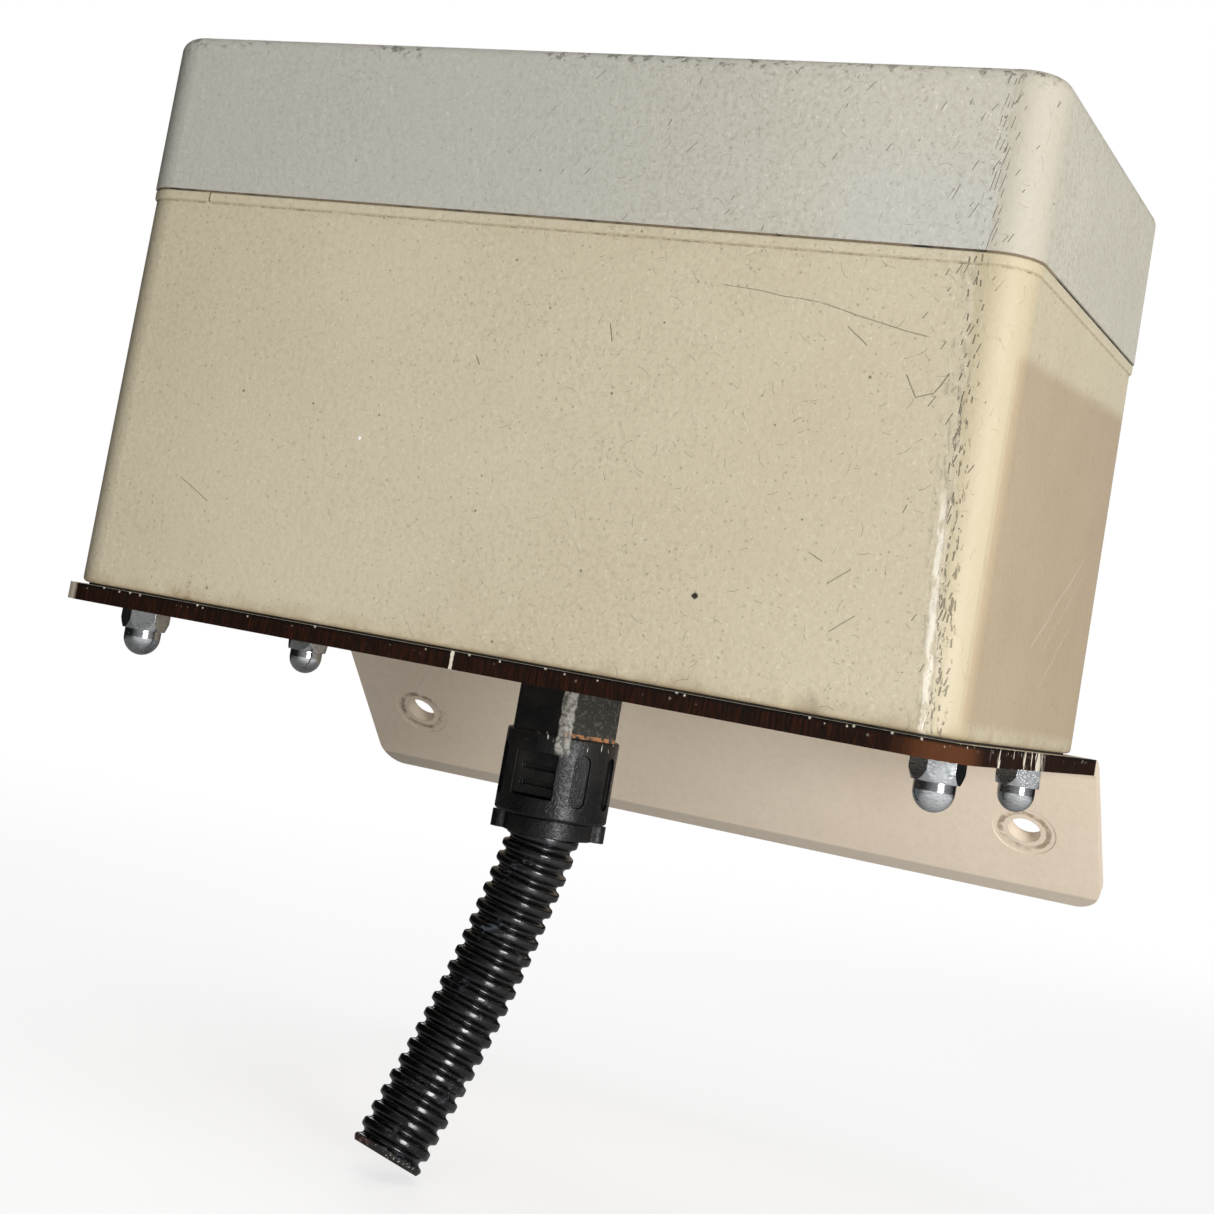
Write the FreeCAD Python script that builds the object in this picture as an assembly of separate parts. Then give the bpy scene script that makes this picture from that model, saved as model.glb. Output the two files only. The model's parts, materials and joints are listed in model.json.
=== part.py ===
"""Garage door opener drive unit: a painted steel case with a lift-off lid on a bent mounting
bracket, with a geared motor, limit switches and a control board inside it.

Millimetres. X is the case's width, Y runs from its front to its back and +Z is up. The parts are
drawn with the origin at the middle of the case's underside, and are moved at the end so that the
origin is the middle of the bracket's two fixing holes, on the bracket's rear face.
"""
import FreeCAD, Part
import math
import os

Vector = FreeCAD.Vector
X_AXIS, Z_AXIS = Vector(1, 0, 0), Vector(0, 0, 1)

# ---- driving dimensions ---------------------------------------------------------------------
CASE_WIDTH = 276.0
CASE_DEPTH = 148.0
CASE_CORNER = 11.0
WALL = 2.0
BODY_TOP = 118.5

RIM_TOP = 121.4
RIM_PROUD = 0.7
NECK_TOP = 134.0
NECK_GAP = 0.5
LID_SEAL_THICK = 0.45
LID_PROUD = 1.0
LID_TOP = 170.0
LID_EDGE_RADIUS = 4.5

GASKET_THICK = 0.6
GASKET_INSET = 2.0
PLATE_THICK = 5.0
PLATE_PROUD = 3.0
PLATE_CORNER = 13.0
BEND_START = 91.5
BEND_RADIUS = 6.0
BEND_ANGLE = 45.0
FLANGE_LENGTH = 61.5
FLANGE_CORNER = 9.0
FIXING_SPAN = 233.0
FIXING_RADIUS = 5.5
FIXING_DOWN = 29.5
FACE_RECESS_RADIUS = 10.8
FACE_RECESS = 0.25

M8, M5, M3 = 4.0, 2.5, 1.5
SCREW_GAP = 0.08
HOLE_GAP = 0.2
WASHER_THICK = 1.6
LID_WASHER_THICK = 0.6
BOLT_X, BOLT_Y = 127.3, 47.0
NUT_FLATS = 13.0
NUT_HEX = 6.2
NUT_DOME_RADIUS = 5.6
NUT_DOME_STRAIGHT = 2.3
NUT_TURNS = {(1, -1): 24.0, (1, 1): 39.0, (-1, -1): 30.0, (-1, 1): 10.0}

POST_X, POST_Y = 118.0, 58.0
POST_RADIUS = 5.0

FITTING_X = -1.0
FITTING_FLATS = 31.0
FITTING_CORNER = 1.8
FITTING_HEX_BOTTOM = -20.6
FITTING_RADIUS = 17.2
FITTING_BOTTOM = -45.6
FITTING_TURN = -64.5
THREAD_RADIUS = 12.4
THREAD_TOP = 15.0
RING_BOTTOM = -51.2
RING_RADIUS = 13.6
RING_EAR = 17.4
RING_EAR_TURN = 25.5
WINDOW = 13.6
GRIP_SLOT_TURNS = (-40, 0, 40, 140, 180, 220)
LOCKNUT_FLATS = 32.0
FITTING_SEAL_THICK = 1.5
CONDUIT_RADIUS = 11.2
CONDUIT_BORE = 8.5
CONDUIT_POINTS = [(0, 0, -21), (0, 0, -50), (-4.2, -2.0, -70), (-7.9, -5.0, -89),
                  (-12.0, -10.2, -109), (-16.5, -17.4, -129.7), (-21.1, -26.0, -150.2)]

# Drive train: every shaft is parallel to X, and a shaft's place is its (y, z).
OUTPUT_AXIS = (-5.0, 56.0)
PRESSURE_ANGLE = math.radians(22.5)
FINAL_MODULE, FINAL_PINION, FINAL_TEETH = 1.5, 12, 60
FIRST_MODULE, FIRST_PINION, FIRST_TEETH = 1.25, 12, 60
LIMIT_MODULE, LIMIT_PINION, LIMIT_TEETH = 0.8, 14, 84
OUTPUT_GEAR_SPAN, FINAL_PINION_SPAN = (-118.0, -106.0), (-119.0, -105.0)
FIRST_GEAR_SPAN, MOTOR_PINION_SPAN = (-99.0, -93.0), (-101.0, -91.0)
LIMIT_GEAR_SPAN, LIMIT_PINION_SPAN = (-83.0, -79.5), (-84.0, -78.5)
MIDDLE_BEARING = 62.0
MOTOR_BEARING = 165.0
LIMIT_BEARING = -10.0
BACKLASH = 0.3

LEFT_PLATE = (-130.0, -127.0)
RIGHT_PLATE = (-90.0, -87.0)
DRIVE_PLATE_HALF = 54.0
DRIVE_PLATE_TOP = 150.0
FOOT_LENGTH = 14.0
OUTPUT_SHAFT_RADIUS = 8.0
OUTPUT_END = -168.0
OUTPUT_STUB_RADIUS = 7.5
OUTPUT_STUB_LENGTH = 24.0
OUTPUT_FLAT = 6.5
OUTPUT_THIN_RADIUS = 3.5
OUTPUT_SEAL_RADIUS = 13.0
MIDDLE_SHAFT_RADIUS = 5.0
MOTOR_SHAFT_RADIUS = 4.0
LIMIT_SHAFT_RADIUS = 3.0
BUSH_WALL = 3.0
RUN_GAP = 0.05
MOTOR_RADIUS = 30.0
MOTOR_END = 3.0
MOTOR_CAP_END = 15.0

LIMIT_BRACKET = (-43.5, -41.5)
SWITCH_SPANS = ((-74.0, -67.0), (-65.5, -58.5))
SWITCH_PIN_RADIUS = 1.2
CAM_RADIUS, CAM_THICK = 16.0, 4.0
CAMS = ((-72.5, 70.0), (-64.0, 130.0))

# Electronics: a place is an (x, y), a rectangle is x and then y from low to high.
BOARD = (34.0, 108.0, -66.0, 10.0)
BOARD_BOTTOM, BOARD_TOP = 12.0, 13.6
TRANSFORMER = (50.0, 106.0, 18.0, 62.0)
CORE_HEIGHT = 46.0
STRAP_THICK = 1.2
CAPACITOR, CAPACITOR_RADIUS, CAPACITOR_HEIGHT = (92.0, -15.0), 10.0, 36.0
HEAT_SINK, HEAT_SINK_HEIGHT = (76.0, 106.0, -45.0, -32.0), 26.0
BUTTON_PLACES = {"learn_button": (56.0, -58.0), "set_button": (74.0, -58.0)}
BUTTON_TRAVEL = 1.2
LEAD_RADIUS = 1.2

# ---- worked-out places ----------------------------------------------------------------------
PLATE_TOP = -GASKET_THICK
PLATE_BOTTOM = PLATE_TOP - PLATE_THICK
LID_BOTTOM = RIM_TOP + LID_SEAL_THICK
BEND = math.radians(BEND_ANGLE)
DOWN_FLANGE = Vector(0, math.sin(BEND), -math.cos(BEND))
FLANGE_NORMAL = Vector(0, math.cos(BEND), math.sin(BEND))
BEND_END = (Vector(0, BEND_START, PLATE_BOTTOM - BEND_RADIUS)
            + FLANGE_NORMAL * (BEND_RADIUS + PLATE_THICK))
MOUNT = BEND_END + DOWN_FLANGE * FIXING_DOWN


def polar(start, distance, degrees):
    """Return the (y, z) that lies a distance from start, at an angle from +Y."""
    angle = math.radians(degrees)
    return (start[0] + distance * math.cos(angle), start[1] + distance * math.sin(angle))


MIDDLE_AXIS = polar(OUTPUT_AXIS, FINAL_MODULE * (FINAL_PINION + FINAL_TEETH) / 2, MIDDLE_BEARING)
MOTOR_AXIS = polar(MIDDLE_AXIS, FIRST_MODULE * (FIRST_PINION + FIRST_TEETH) / 2, MOTOR_BEARING)
LIMIT_AXIS = polar(OUTPUT_AXIS, LIMIT_MODULE * (LIMIT_PINION + LIMIT_TEETH) / 2, LIMIT_BEARING)
SWITCH_Z = (LIMIT_AXIS[1] + CAM_RADIUS + 2.5, LIMIT_AXIS[1] + CAM_RADIUS + 12.5)


# ---- shapes ---------------------------------------------------------------------------------
def box(x0, x1, y0, y1, z0, z1):
    """Return a block between two corners."""
    return Part.makeBox(x1 - x0, y1 - y0, z1 - z0, Vector(x0, y0, z0))


def upright(x, y, radius, z0, z1):
    """Return a cylinder along Z."""
    return Part.makeCylinder(radius, z1 - z0, Vector(x, y, z0), Z_AXIS)


def along_x(place, radius, x0, x1):
    """Return a cylinder along X round a (y, z) place."""
    return Part.makeCylinder(radius, x1 - x0, Vector(x0, place[0], place[1]), X_AXIS)


def upright_ring(x, y, outer, inner, z0, z1):
    """Return a ring along Z."""
    return upright(x, y, outer, z0, z1).cut(upright(x, y, inner, z0, z1))


def ring_x(place, outer, inner, x0, x1):
    """Return a ring along X."""
    return along_x(place, outer, x0, x1).cut(along_x(place, inner, x0, x1))


def rounded_block(width, depth, corner, z0, z1):
    """Return a block centred on the Z axis, with its four upright edges rounded."""
    block = box(-width / 2, width / 2, -depth / 2, depth / 2, z0, z1)
    return block.makeFillet(corner, upright_edges(block))


def upright_edges(shape):
    """Return the edges that run along Z."""
    return [edge for edge in shape.Edges if abs(edge.tangentAt(0).z) > 0.99]


def edges_at(shape, z):
    """Return the edges that lie at one height."""
    return [edge for edge in shape.Edges
            if abs(edge.BoundBox.ZMin - z) < 1e-4 and abs(edge.BoundBox.ZMax - z) < 1e-4]


def hexagon(x, y, flats, z0, z1, turn=0.0):
    """Return a hexagonal prism along Z, with a corner at the angle turn from +X."""
    across = flats / math.sqrt(3)
    corners = [Vector(x + across * math.cos(math.radians(turn + 60 * side)),
                      y + across * math.sin(math.radians(turn + 60 * side)), z0)
               for side in range(7)]
    return Part.Face(Part.makePolygon(corners)).extrude(Vector(0, 0, z1 - z0))


def four(make, x, y):
    """Return make(x, y) at the four corners as separate solids."""
    return Part.Compound([make(side * x, end * y) for side in (-1, 1) for end in (-1, 1)])


def cut_all(shape, tools):
    """Cut each tool out of a shape."""
    for tool in tools:
        shape = shape.cut(tool)
    return shape


def screw_down(x, y, radius, head_z, tip_z):
    """Return a low-headed screw with its head standing on head_z and a cross recess."""
    head_top = head_z + 0.76 * radius
    head = upright(x, y, 1.9 * radius, head_z, head_top)
    head = head.makeFillet(0.5 * radius, edges_at(head, head_top))
    slot = 0.3 * radius
    for length, width in ((radius, slot), (slot, radius)):
        head = head.cut(box(x - length, x + length, y - width, y + width,
                            head_z + 0.3 * radius, head_top + 1))
    return head.fuse(upright(x, y, radius - SCREW_GAP, tip_z, head_z)).removeSplitter()


def tube_path(points, label):
    """Return a wire of straight runs joined by tangent arcs, printing each arc's radius."""
    places = [Vector(*point) for point in points]
    edges, start, radii = [], places[0], []
    for before, corner, after in zip(places, places[1:], places[2:]):
        arriving, leaving = (corner - before).normalize(), (after - corner).normalize()
        reach = 0.45 * min(before.distanceToPoint(corner), corner.distanceToPoint(after))
        half_turn = arriving.getAngle(leaving) / 2
        radius = reach / math.tan(half_turn)
        radii.append(round(radius, 1))
        bisector = (leaving - arriving).normalize()
        middle = corner + bisector * (radius / math.cos(half_turn) - radius)
        first, last = corner - arriving * reach, corner + leaving * reach
        edges += [Part.LineSegment(start, first).toShape(), Part.Arc(first, middle, last).toShape()]
        start = last
    edges.append(Part.LineSegment(start, places[-1]).toShape())
    print(label, "arc radii", radii)
    return Part.Wire(edges)


def sweep(path, points, radius):
    """Return the solid that a disc of this radius sweeps along a path."""
    start, towards = Vector(*points[0]), Vector(*points[1]) - Vector(*points[0])
    disc = Part.Wire([Part.makeCircle(radius, start, towards)])
    return path.makePipeShell([disc], True, True)


# ---- gears ----------------------------------------------------------------------------------
def half_tooth(radius, pitch_radius, teeth):
    """Return half of a tooth's angle at a radius, for an involute tooth thinned by the backlash."""
    base = pitch_radius * math.cos(PRESSURE_ANGLE)
    pressure = math.acos(min(1.0, base / radius))
    at_pitch = math.pi / (2 * teeth) - BACKLASH / (4 * pitch_radius)
    return at_pitch + math.tan(PRESSURE_ANGLE) - PRESSURE_ANGLE - math.tan(pressure) + pressure


def gear(place, teeth, module, bore, x0, x1, first_tooth):
    """Return a spur gear round a (y, z) place, with a tooth at the angle first_tooth from +Y."""
    pitch = module * teeth / 2
    radii = [pitch - 1.2 * module, pitch - 0.4 * module, pitch, pitch + 0.85 * module]
    outline = []
    for tooth in range(teeth):
        middle = first_tooth + 2 * math.pi * tooth / teeth
        rising = [(r, middle - half_tooth(r, pitch, teeth)) for r in radii]
        falling = [(r, middle + half_tooth(r, pitch, teeth)) for r in reversed(radii)]
        outline += [Vector(x0, place[0] + r * math.cos(a), place[1] + r * math.sin(a))
                    for r, a in rising + falling]
    outline.append(outline[0])
    blank = Part.Face(Part.makePolygon(outline)).extrude(Vector(x1 - x0, 0, 0))
    return blank.cut(along_x(place, bore, x0 - 1, x1 + 1))


def spoked(wheel, place, web_radius, hole_radius, count, x0, x1):
    """Cut a ring of lightening holes through a gear's web."""
    for hole in range(count):
        centre = polar(place, web_radius, 360.0 * hole / count + 15)
        wheel = wheel.cut(along_x(centre, hole_radius, x0 - 1, x1 + 1))
    return wheel


def facing(degrees):
    """Return the angle of a tooth that points at a mate in this direction."""
    return math.radians(degrees)


def gap_facing(degrees, teeth):
    """Return the angle of a tooth beside the gap that points back from a mate's direction."""
    return math.radians(degrees) + math.pi + math.pi / teeth


# ---- case, bracket and lid ------------------------------------------------------------------
def floor_hole_tools(clearance=0.0):
    """Return the cutters for the case bolts, the fitting's thread and the drive's screws."""
    bolts = [upright(side * BOLT_X, end * BOLT_Y, M8 + HOLE_GAP + clearance, -30, 5)
             for side in (-1, 1) for end in (-1, 1)]
    thread = upright(FITTING_X, 0, THREAD_RADIUS + SCREW_GAP + clearance, -30, 5)
    drive = [upright(x, y, M5 + clearance, -30, 5) for x, y in drive_screw_places()]
    boards = [upright(x, y, M3 + clearance, -30, 5) for x, y in low_screw_places()]
    return bolts + [thread] + drive + boards


def case_body():
    """Deep steel tray with rounded corners, open at the top."""
    outside = rounded_block(CASE_WIDTH, CASE_DEPTH, CASE_CORNER, 0, BODY_TOP)
    outside = outside.makeFillet(1.5, edges_at(outside, 0))
    inside = rounded_block(CASE_WIDTH - 2 * WALL, CASE_DEPTH - 2 * WALL, CASE_CORNER - WALL,
                           WALL, BODY_TOP + 1)
    shaft_hole = along_x(OUTPUT_AXIS, OUTPUT_SEAL_RADIUS, -CASE_WIDTH / 2 - 1, -CASE_WIDTH / 2 + WALL + 1)
    return cut_all(outside.cut(inside), floor_hole_tools() + [shaft_hole])


def rim_frame():
    """Frame round the body's mouth: a bead outside, and the neck that the lid slides over."""
    bead = rounded_block(CASE_WIDTH + 2 * RIM_PROUD, CASE_DEPTH + 2 * RIM_PROUD,
                         CASE_CORNER + RIM_PROUD, BODY_TOP, RIM_TOP)
    bead = bead.makeFillet(0.6, edges_at(bead, BODY_TOP) + edges_at(bead, RIM_TOP))
    neck_inset = 2 * (NECK_GAP + WALL - LID_PROUD)
    neck = rounded_block(CASE_WIDTH - neck_inset, CASE_DEPTH - neck_inset,
                         CASE_CORNER - neck_inset / 2, BODY_TOP, NECK_TOP)
    mouth_inset = neck_inset + 2 * WALL
    mouth = rounded_block(CASE_WIDTH - mouth_inset, CASE_DEPTH - mouth_inset,
                          CASE_CORNER - mouth_inset / 2, BODY_TOP - 1, NECK_TOP + 1)
    joint = box(-113.4, -112.4, -CASE_DEPTH / 2 - 2, -CASE_DEPTH / 2 + 0.6, BODY_TOP, RIM_TOP)
    return bead.fuse(neck).removeSplitter().cut(mouth).cut(joint)


def lid_seal():
    """Flat rubber ring between the bead and the lid's lower edge."""
    outer = rounded_block(CASE_WIDTH + 0.8, CASE_DEPTH + 0.8, CASE_CORNER + 0.4, RIM_TOP,
                          LID_BOTTOM - 0.02)
    inset = 2 * (NECK_GAP + WALL - LID_PROUD) - 0.2
    return outer.cut(rounded_block(CASE_WIDTH - inset, CASE_DEPTH - inset,
                                   CASE_CORNER - inset / 2, RIM_TOP - 1, LID_BOTTOM + 1))


def lid():
    """Pressed steel cap, held down by four screws through its top."""
    outside = rounded_block(CASE_WIDTH + 2 * LID_PROUD, CASE_DEPTH + 2 * LID_PROUD,
                            CASE_CORNER + LID_PROUD, LID_BOTTOM, LID_TOP)
    outside = outside.makeFillet(LID_EDGE_RADIUS, edges_at(outside, LID_TOP))
    inset = 2 * (WALL - LID_PROUD)
    inside = rounded_block(CASE_WIDTH - inset, CASE_DEPTH - inset, CASE_CORNER - inset / 2,
                           LID_BOTTOM - 1, LID_TOP - WALL)
    inside = inside.makeFillet(LID_EDGE_RADIUS - WALL, edges_at(inside, LID_TOP - WALL))
    holes = [upright(side * POST_X, end * POST_Y, M5 + HOLE_GAP, LID_TOP - 5, LID_TOP + 1)
             for side in (-1, 1) for end in (-1, 1)]
    return cut_all(outside.cut(inside), holes)


def lid_post(x, y):
    """Tall round post with a threaded end for a lid screw."""
    post = upright(x, y, POST_RADIUS, WALL, LID_TOP - WALL - 0.4)
    return post.cut(upright(x, y, M5, LID_TOP - 22, LID_TOP))


def lid_washer(x, y):
    """Sealing washer under a lid screw's head."""
    return upright_ring(x, y, 5.0, M5 + HOLE_GAP / 2, LID_TOP, LID_TOP + LID_WASHER_THICK)


def lid_screw(x, y):
    """Lid screw, which reaches into its post."""
    return screw_down(x, y, M5, LID_TOP + LID_WASHER_THICK, LID_TOP - 16)


def base_gasket():
    """Rubber sheet between the case and the bracket."""
    sheet = rounded_block(CASE_WIDTH - 2 * GASKET_INSET, CASE_DEPTH - 2 * GASKET_INSET,
                          CASE_CORNER - GASKET_INSET, PLATE_TOP, 0)
    return cut_all(sheet, floor_hole_tools(HOLE_GAP))


def mounting_bracket():
    """Thick steel plate under the case, with its rear edge bent down into a fixing flange."""
    half = CASE_WIDTH / 2 + PLATE_PROUD
    front = -CASE_DEPTH / 2 - PLATE_PROUD
    centre = Vector(0, BEND_START, PLATE_BOTTOM - BEND_RADIUS)

    def round_bend(radius, share):
        """Return a point of the bend, a share of the way round it."""
        angle = BEND * share
        return centre + Vector(0, radius * math.sin(angle), radius * math.cos(angle))

    outer, inner = BEND_RADIUS + PLATE_THICK, BEND_RADIUS
    top_end = round_bend(outer, 1) + DOWN_FLANGE * FLANGE_LENGTH
    low_end = round_bend(inner, 1) + DOWN_FLANGE * FLANGE_LENGTH
    profile = Part.Wire([
        Part.LineSegment(Vector(0, front, PLATE_TOP), round_bend(outer, 0)).toShape(),
        Part.Arc(round_bend(outer, 0), round_bend(outer, 0.5), round_bend(outer, 1)).toShape(),
        Part.LineSegment(round_bend(outer, 1), top_end).toShape(),
        Part.LineSegment(top_end, low_end).toShape(),
        Part.LineSegment(low_end, round_bend(inner, 1)).toShape(),
        Part.Arc(round_bend(inner, 1), round_bend(inner, 0.5), round_bend(inner, 0)).toShape(),
        Part.LineSegment(round_bend(inner, 0), Vector(0, front, PLATE_BOTTOM)).toShape(),
        Part.LineSegment(Vector(0, front, PLATE_BOTTOM), Vector(0, front, PLATE_TOP)).toShape(),
    ])
    plate = Part.Face(profile).extrude(Vector(2 * half, 0, 0))
    plate.translate(Vector(-half, 0, 0))
    plate = plate.makeFillet(PLATE_CORNER, short_edges(plate, front, PLATE_TOP, PLATE_BOTTOM))
    plate = plate.makeFillet(FLANGE_CORNER, slanted_edges(plate, top_end, low_end))
    for side in (-1, 1):
        plate = cut_all(plate, fixing_tools(side * FIXING_SPAN / 2))
    return cut_all(plate, floor_hole_tools())


def short_edges(plate, front, top, bottom):
    """Return the plate's two upright front corner edges."""
    return [edge for edge in plate.Edges
            if abs(edge.BoundBox.YMax - front) < 1e-4 and edge.BoundBox.ZLength > PLATE_THICK - 0.1
            and edge.BoundBox.XLength < 1e-4 and bottom - 1 < edge.BoundBox.ZMin < top]


def slanted_edges(plate, top_end, low_end):
    """Return the two edges at the ends of the flange's lower edge."""
    return [edge for edge in plate.Edges
            if edge.BoundBox.XLength < 1e-4 and abs(edge.BoundBox.YMax - top_end.y) < 1e-4
            and abs(edge.BoundBox.YMin - low_end.y) < 1e-4]


def fixing_tools(x):
    """Return the cutters of one fixing hole and of the washer's mark round it, under the flange."""
    centre = Vector(x, MOUNT.y, MOUNT.z)
    hole = Part.makeCylinder(FIXING_RADIUS, 4 * PLATE_THICK, centre + FLANGE_NORMAL * PLATE_THICK,
                             FLANGE_NORMAL * -1)
    mark_start = centre - FLANGE_NORMAL * (PLATE_THICK - FACE_RECESS)
    mark = Part.makeCylinder(FACE_RECESS_RADIUS, 2.0, mark_start, FLANGE_NORMAL * -1)
    return [hole, mark]


def case_bolt(x, y):
    """Hexagon-head bolt from inside the case down into its cap nut."""
    seat = WALL + WASHER_THICK
    head = hexagon(x, y, NUT_FLATS, seat, seat + 5.3, 30)
    return head.fuse(upright(x, y, M8 - SCREW_GAP, PLATE_BOTTOM - 8.5, seat)).removeSplitter()


def case_washer(x, y):
    """Flat washer under a case bolt's head."""
    return upright_ring(x, y, 8.0, M8 + HOLE_GAP, WALL, WALL + WASHER_THICK)


def cap_nut(side, end):
    """Domed nut under the bracket."""
    x, y = side * BOLT_X, end * BOLT_Y
    hex_bottom = PLATE_BOTTOM - NUT_HEX
    chamfer = Part.makeCone(NUT_DOME_RADIUS + 0.9, NUT_FLATS / math.sqrt(3) + 1.2, NUT_HEX,
                            Vector(x, y, hex_bottom), Z_AXIS)
    nut = hexagon(x, y, NUT_FLATS, hex_bottom, PLATE_BOTTOM, NUT_TURNS[(side, end)]).common(chamfer)
    straight_end = hex_bottom - NUT_DOME_STRAIGHT
    dome = upright(x, y, NUT_DOME_RADIUS, straight_end, hex_bottom)
    dome = dome.fuse(Part.makeSphere(NUT_DOME_RADIUS, Vector(x, y, straight_end)))
    nut = nut.fuse(dome).removeSplitter()
    return nut.cut(upright(x, y, M8, PLATE_BOTTOM - 9.5, PLATE_BOTTOM + 1))


# ---- conduit and its fitting ----------------------------------------------------------------
def conduit_fitting():
    """Nylon fitting: a thread through the bracket, a hexagon and a body that grips the conduit."""
    fitting = hexagon(0, 0, FITTING_FLATS, FITTING_HEX_BOTTOM, PLATE_BOTTOM, FITTING_TURN)
    fitting = fitting.makeFillet(FITTING_CORNER, upright_edges(fitting))
    body = upright(0, 0, FITTING_RADIUS, FITTING_BOTTOM, FITTING_HEX_BOTTOM)
    body = body.makeFillet(0.8, edges_at(body, FITTING_HEX_BOTTOM) + edges_at(body, FITTING_BOTTOM))
    fitting = fitting.fuse(body).fuse(upright(0, 0, THREAD_RADIUS, PLATE_BOTTOM, THREAD_TOP))
    fitting = fitting.removeSplitter()
    start = CONDUIT_POINTS[0][2]
    tools = [upright(0, 0, CONDUIT_BORE, start - 1, THREAD_TOP + 1),
             upright(0, 0, CONDUIT_RADIUS + 0.15, start - 12, start),
             upright(0, 0, CONDUIT_RADIUS + 1.0, FITTING_BOTTOM - 1, start - 10),
             upright(0, 0, RING_RADIUS - 0.5, FITTING_BOTTOM - 1, FITTING_BOTTOM + 3)]
    middle = (FITTING_BOTTOM + FITTING_HEX_BOTTOM) / 2
    window = box(-WINDOW / 2, WINDOW / 2, -FITTING_RADIUS - 1, FITTING_RADIUS + 1,
                 middle - WINDOW / 2, middle + WINDOW / 2)
    tools.append(window)
    for degrees in GRIP_SLOT_TURNS:
        tools.append(grip_slot(degrees, middle))
    return cut_all(fitting, tools)


def grip_slot(degrees, middle):
    """Return the cutter of one round-ended slot in the side of the fitting's body."""
    length, half_width, depth = 16.0, 2.6, 1.3
    ends = [Part.makeCylinder(half_width, 6, Vector(FITTING_RADIUS - depth, 0, middle + end), X_AXIS)
            for end in (half_width - length / 2, length / 2 - half_width)]
    bar = box(FITTING_RADIUS - depth, FITTING_RADIUS - depth + 6, -half_width, half_width,
              middle - length / 2 + half_width, middle + length / 2 - half_width)
    slot = bar.fuse(ends[0]).fuse(ends[1])
    slot.rotate(Vector(0, 0, 0), Z_AXIS, degrees)
    return slot


def fitting_latches():
    """Two sprung latches that fill the fitting's windows and catch the conduit's ribs."""
    middle = (FITTING_BOTTOM + FITTING_HEX_BOTTOM) / 2
    inner, outer, half = CONDUIT_RADIUS + 1.1, FITTING_RADIUS - 2.4, WINDOW / 2
    latches = []
    for side in (-1, 1):
        low, high = sorted((side * inner, side * outer))
        block = box(-half, half - 0.6, low, high, middle - half + 0.6, middle + half)
        groove_low, groove_high = sorted((side * (outer - 1.6), side * (outer + 1)))
        for rise in (-2.6, 2.2):
            block = block.cut(box(-half + 2, half + 1, groove_low, groove_high,
                                  middle + rise - 0.9, middle + rise + 0.9))
        latches.append(block)
    return Part.Compound(latches)


def locking_ring():
    """Ring with two ears under the fitting: a part turn of it lets the conduit go."""
    top = FITTING_BOTTOM - 0.5
    ring = upright(0, 0, RING_RADIUS, RING_BOTTOM, top)
    for ear in (0, 180):
        arm = box(0, RING_EAR - 2.6, -2.6, 2.6, RING_BOTTOM, top)
        arm = arm.fuse(upright(RING_EAR - 2.6, 0, 2.6, RING_BOTTOM, top))
        arm.rotate(Vector(0, 0, 0), Z_AXIS, ear + RING_EAR_TURN)
        ring = ring.fuse(arm)
    ring = ring.removeSplitter().fuse(upright(0, 0, RING_RADIUS - 0.6, top, FITTING_BOTTOM + 2.6))
    return ring.cut(upright(0, 0, CONDUIT_RADIUS + 1.0, RING_BOTTOM - 1, FITTING_BOTTOM + 4))


def fitting_locknut():
    """Nut that holds the fitting down on the case's floor."""
    nut = hexagon(0, 0, LOCKNUT_FLATS, WALL + FITTING_SEAL_THICK, WALL + FITTING_SEAL_THICK + 6, 0)
    return nut.cut(upright(0, 0, THREAD_RADIUS + SCREW_GAP, 0, 12))


def fitting_seal():
    """Rubber washer under the locknut."""
    return upright_ring(0, 0, LOCKNUT_FLATS / 2 + 0.5, THREAD_RADIUS + 0.15,
                        WALL, WALL + FITTING_SEAL_THICK)


def conduit():
    """Short stub of corrugated conduit, as a plain tube of its outer size."""
    path = tube_path(CONDUIT_POINTS, "conduit")
    tube = sweep(path, CONDUIT_POINTS, CONDUIT_RADIUS)
    tube = tube.cut(sweep(path, CONDUIT_POINTS, CONDUIT_BORE))
    section = math.pi * (CONDUIT_RADIUS ** 2 - CONDUIT_BORE ** 2)
    print("conduit length %.1f mm, volume is %.4f of section times length"
          % (path.Length, tube.Volume / (section * path.Length)))
    return tube


# ---- drive ----------------------------------------------------------------------------------
def drive_screw_places():
    """Return the (x, y) of the screws through the two drive plates' feet."""
    return [(plate[1] + FOOT_LENGTH / 2, y) for plate in (LEFT_PLATE, RIGHT_PLATE) for y in (-24, 24)]


def drive_plate(plate):
    """Return one upright steel plate with its foot and notches, before its shaft holes."""
    x0, x1 = plate
    panel = box(x0, x1, -DRIVE_PLATE_HALF, DRIVE_PLATE_HALF, WALL, DRIVE_PLATE_TOP)
    corners = [edge for edge in panel.Edges
               if abs(edge.tangentAt(0).x) > 0.99 and edge.BoundBox.ZMin > WALL + 1]
    panel = panel.makeFillet(8, corners)
    for y0, y1 in ((-DRIVE_PLATE_HALF - 1, -37), (37, DRIVE_PLATE_HALF + 1)):
        panel = panel.cut(box(x0 - 1, x1 + 1, y0, y1, 0, 12))
    foot = box(x1, x1 + FOOT_LENGTH, -32, 32, WALL, WALL + 3)
    holes = [upright(x, y, M5 + HOLE_GAP, 0, 8) for x, y in drive_screw_places()]
    spacers = [along_x(place, M5 + HOLE_GAP, x0 - 1, x1 + 1) for place in spacer_places()]
    return cut_all(panel.fuse(foot).removeSplitter(), holes + spacers)


def spacer_places():
    """Return the (y, z) of the four spacers between the drive plates."""
    return [(-46, 19), (46, 19), (-46, 142), (46, 142)]


def shaft_hole(place, radius, plate):
    """Return the cutter of a bush's seat in a drive plate."""
    return along_x(place, radius + BUSH_WALL, plate[0] - 1, plate[1] + 1)


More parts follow.
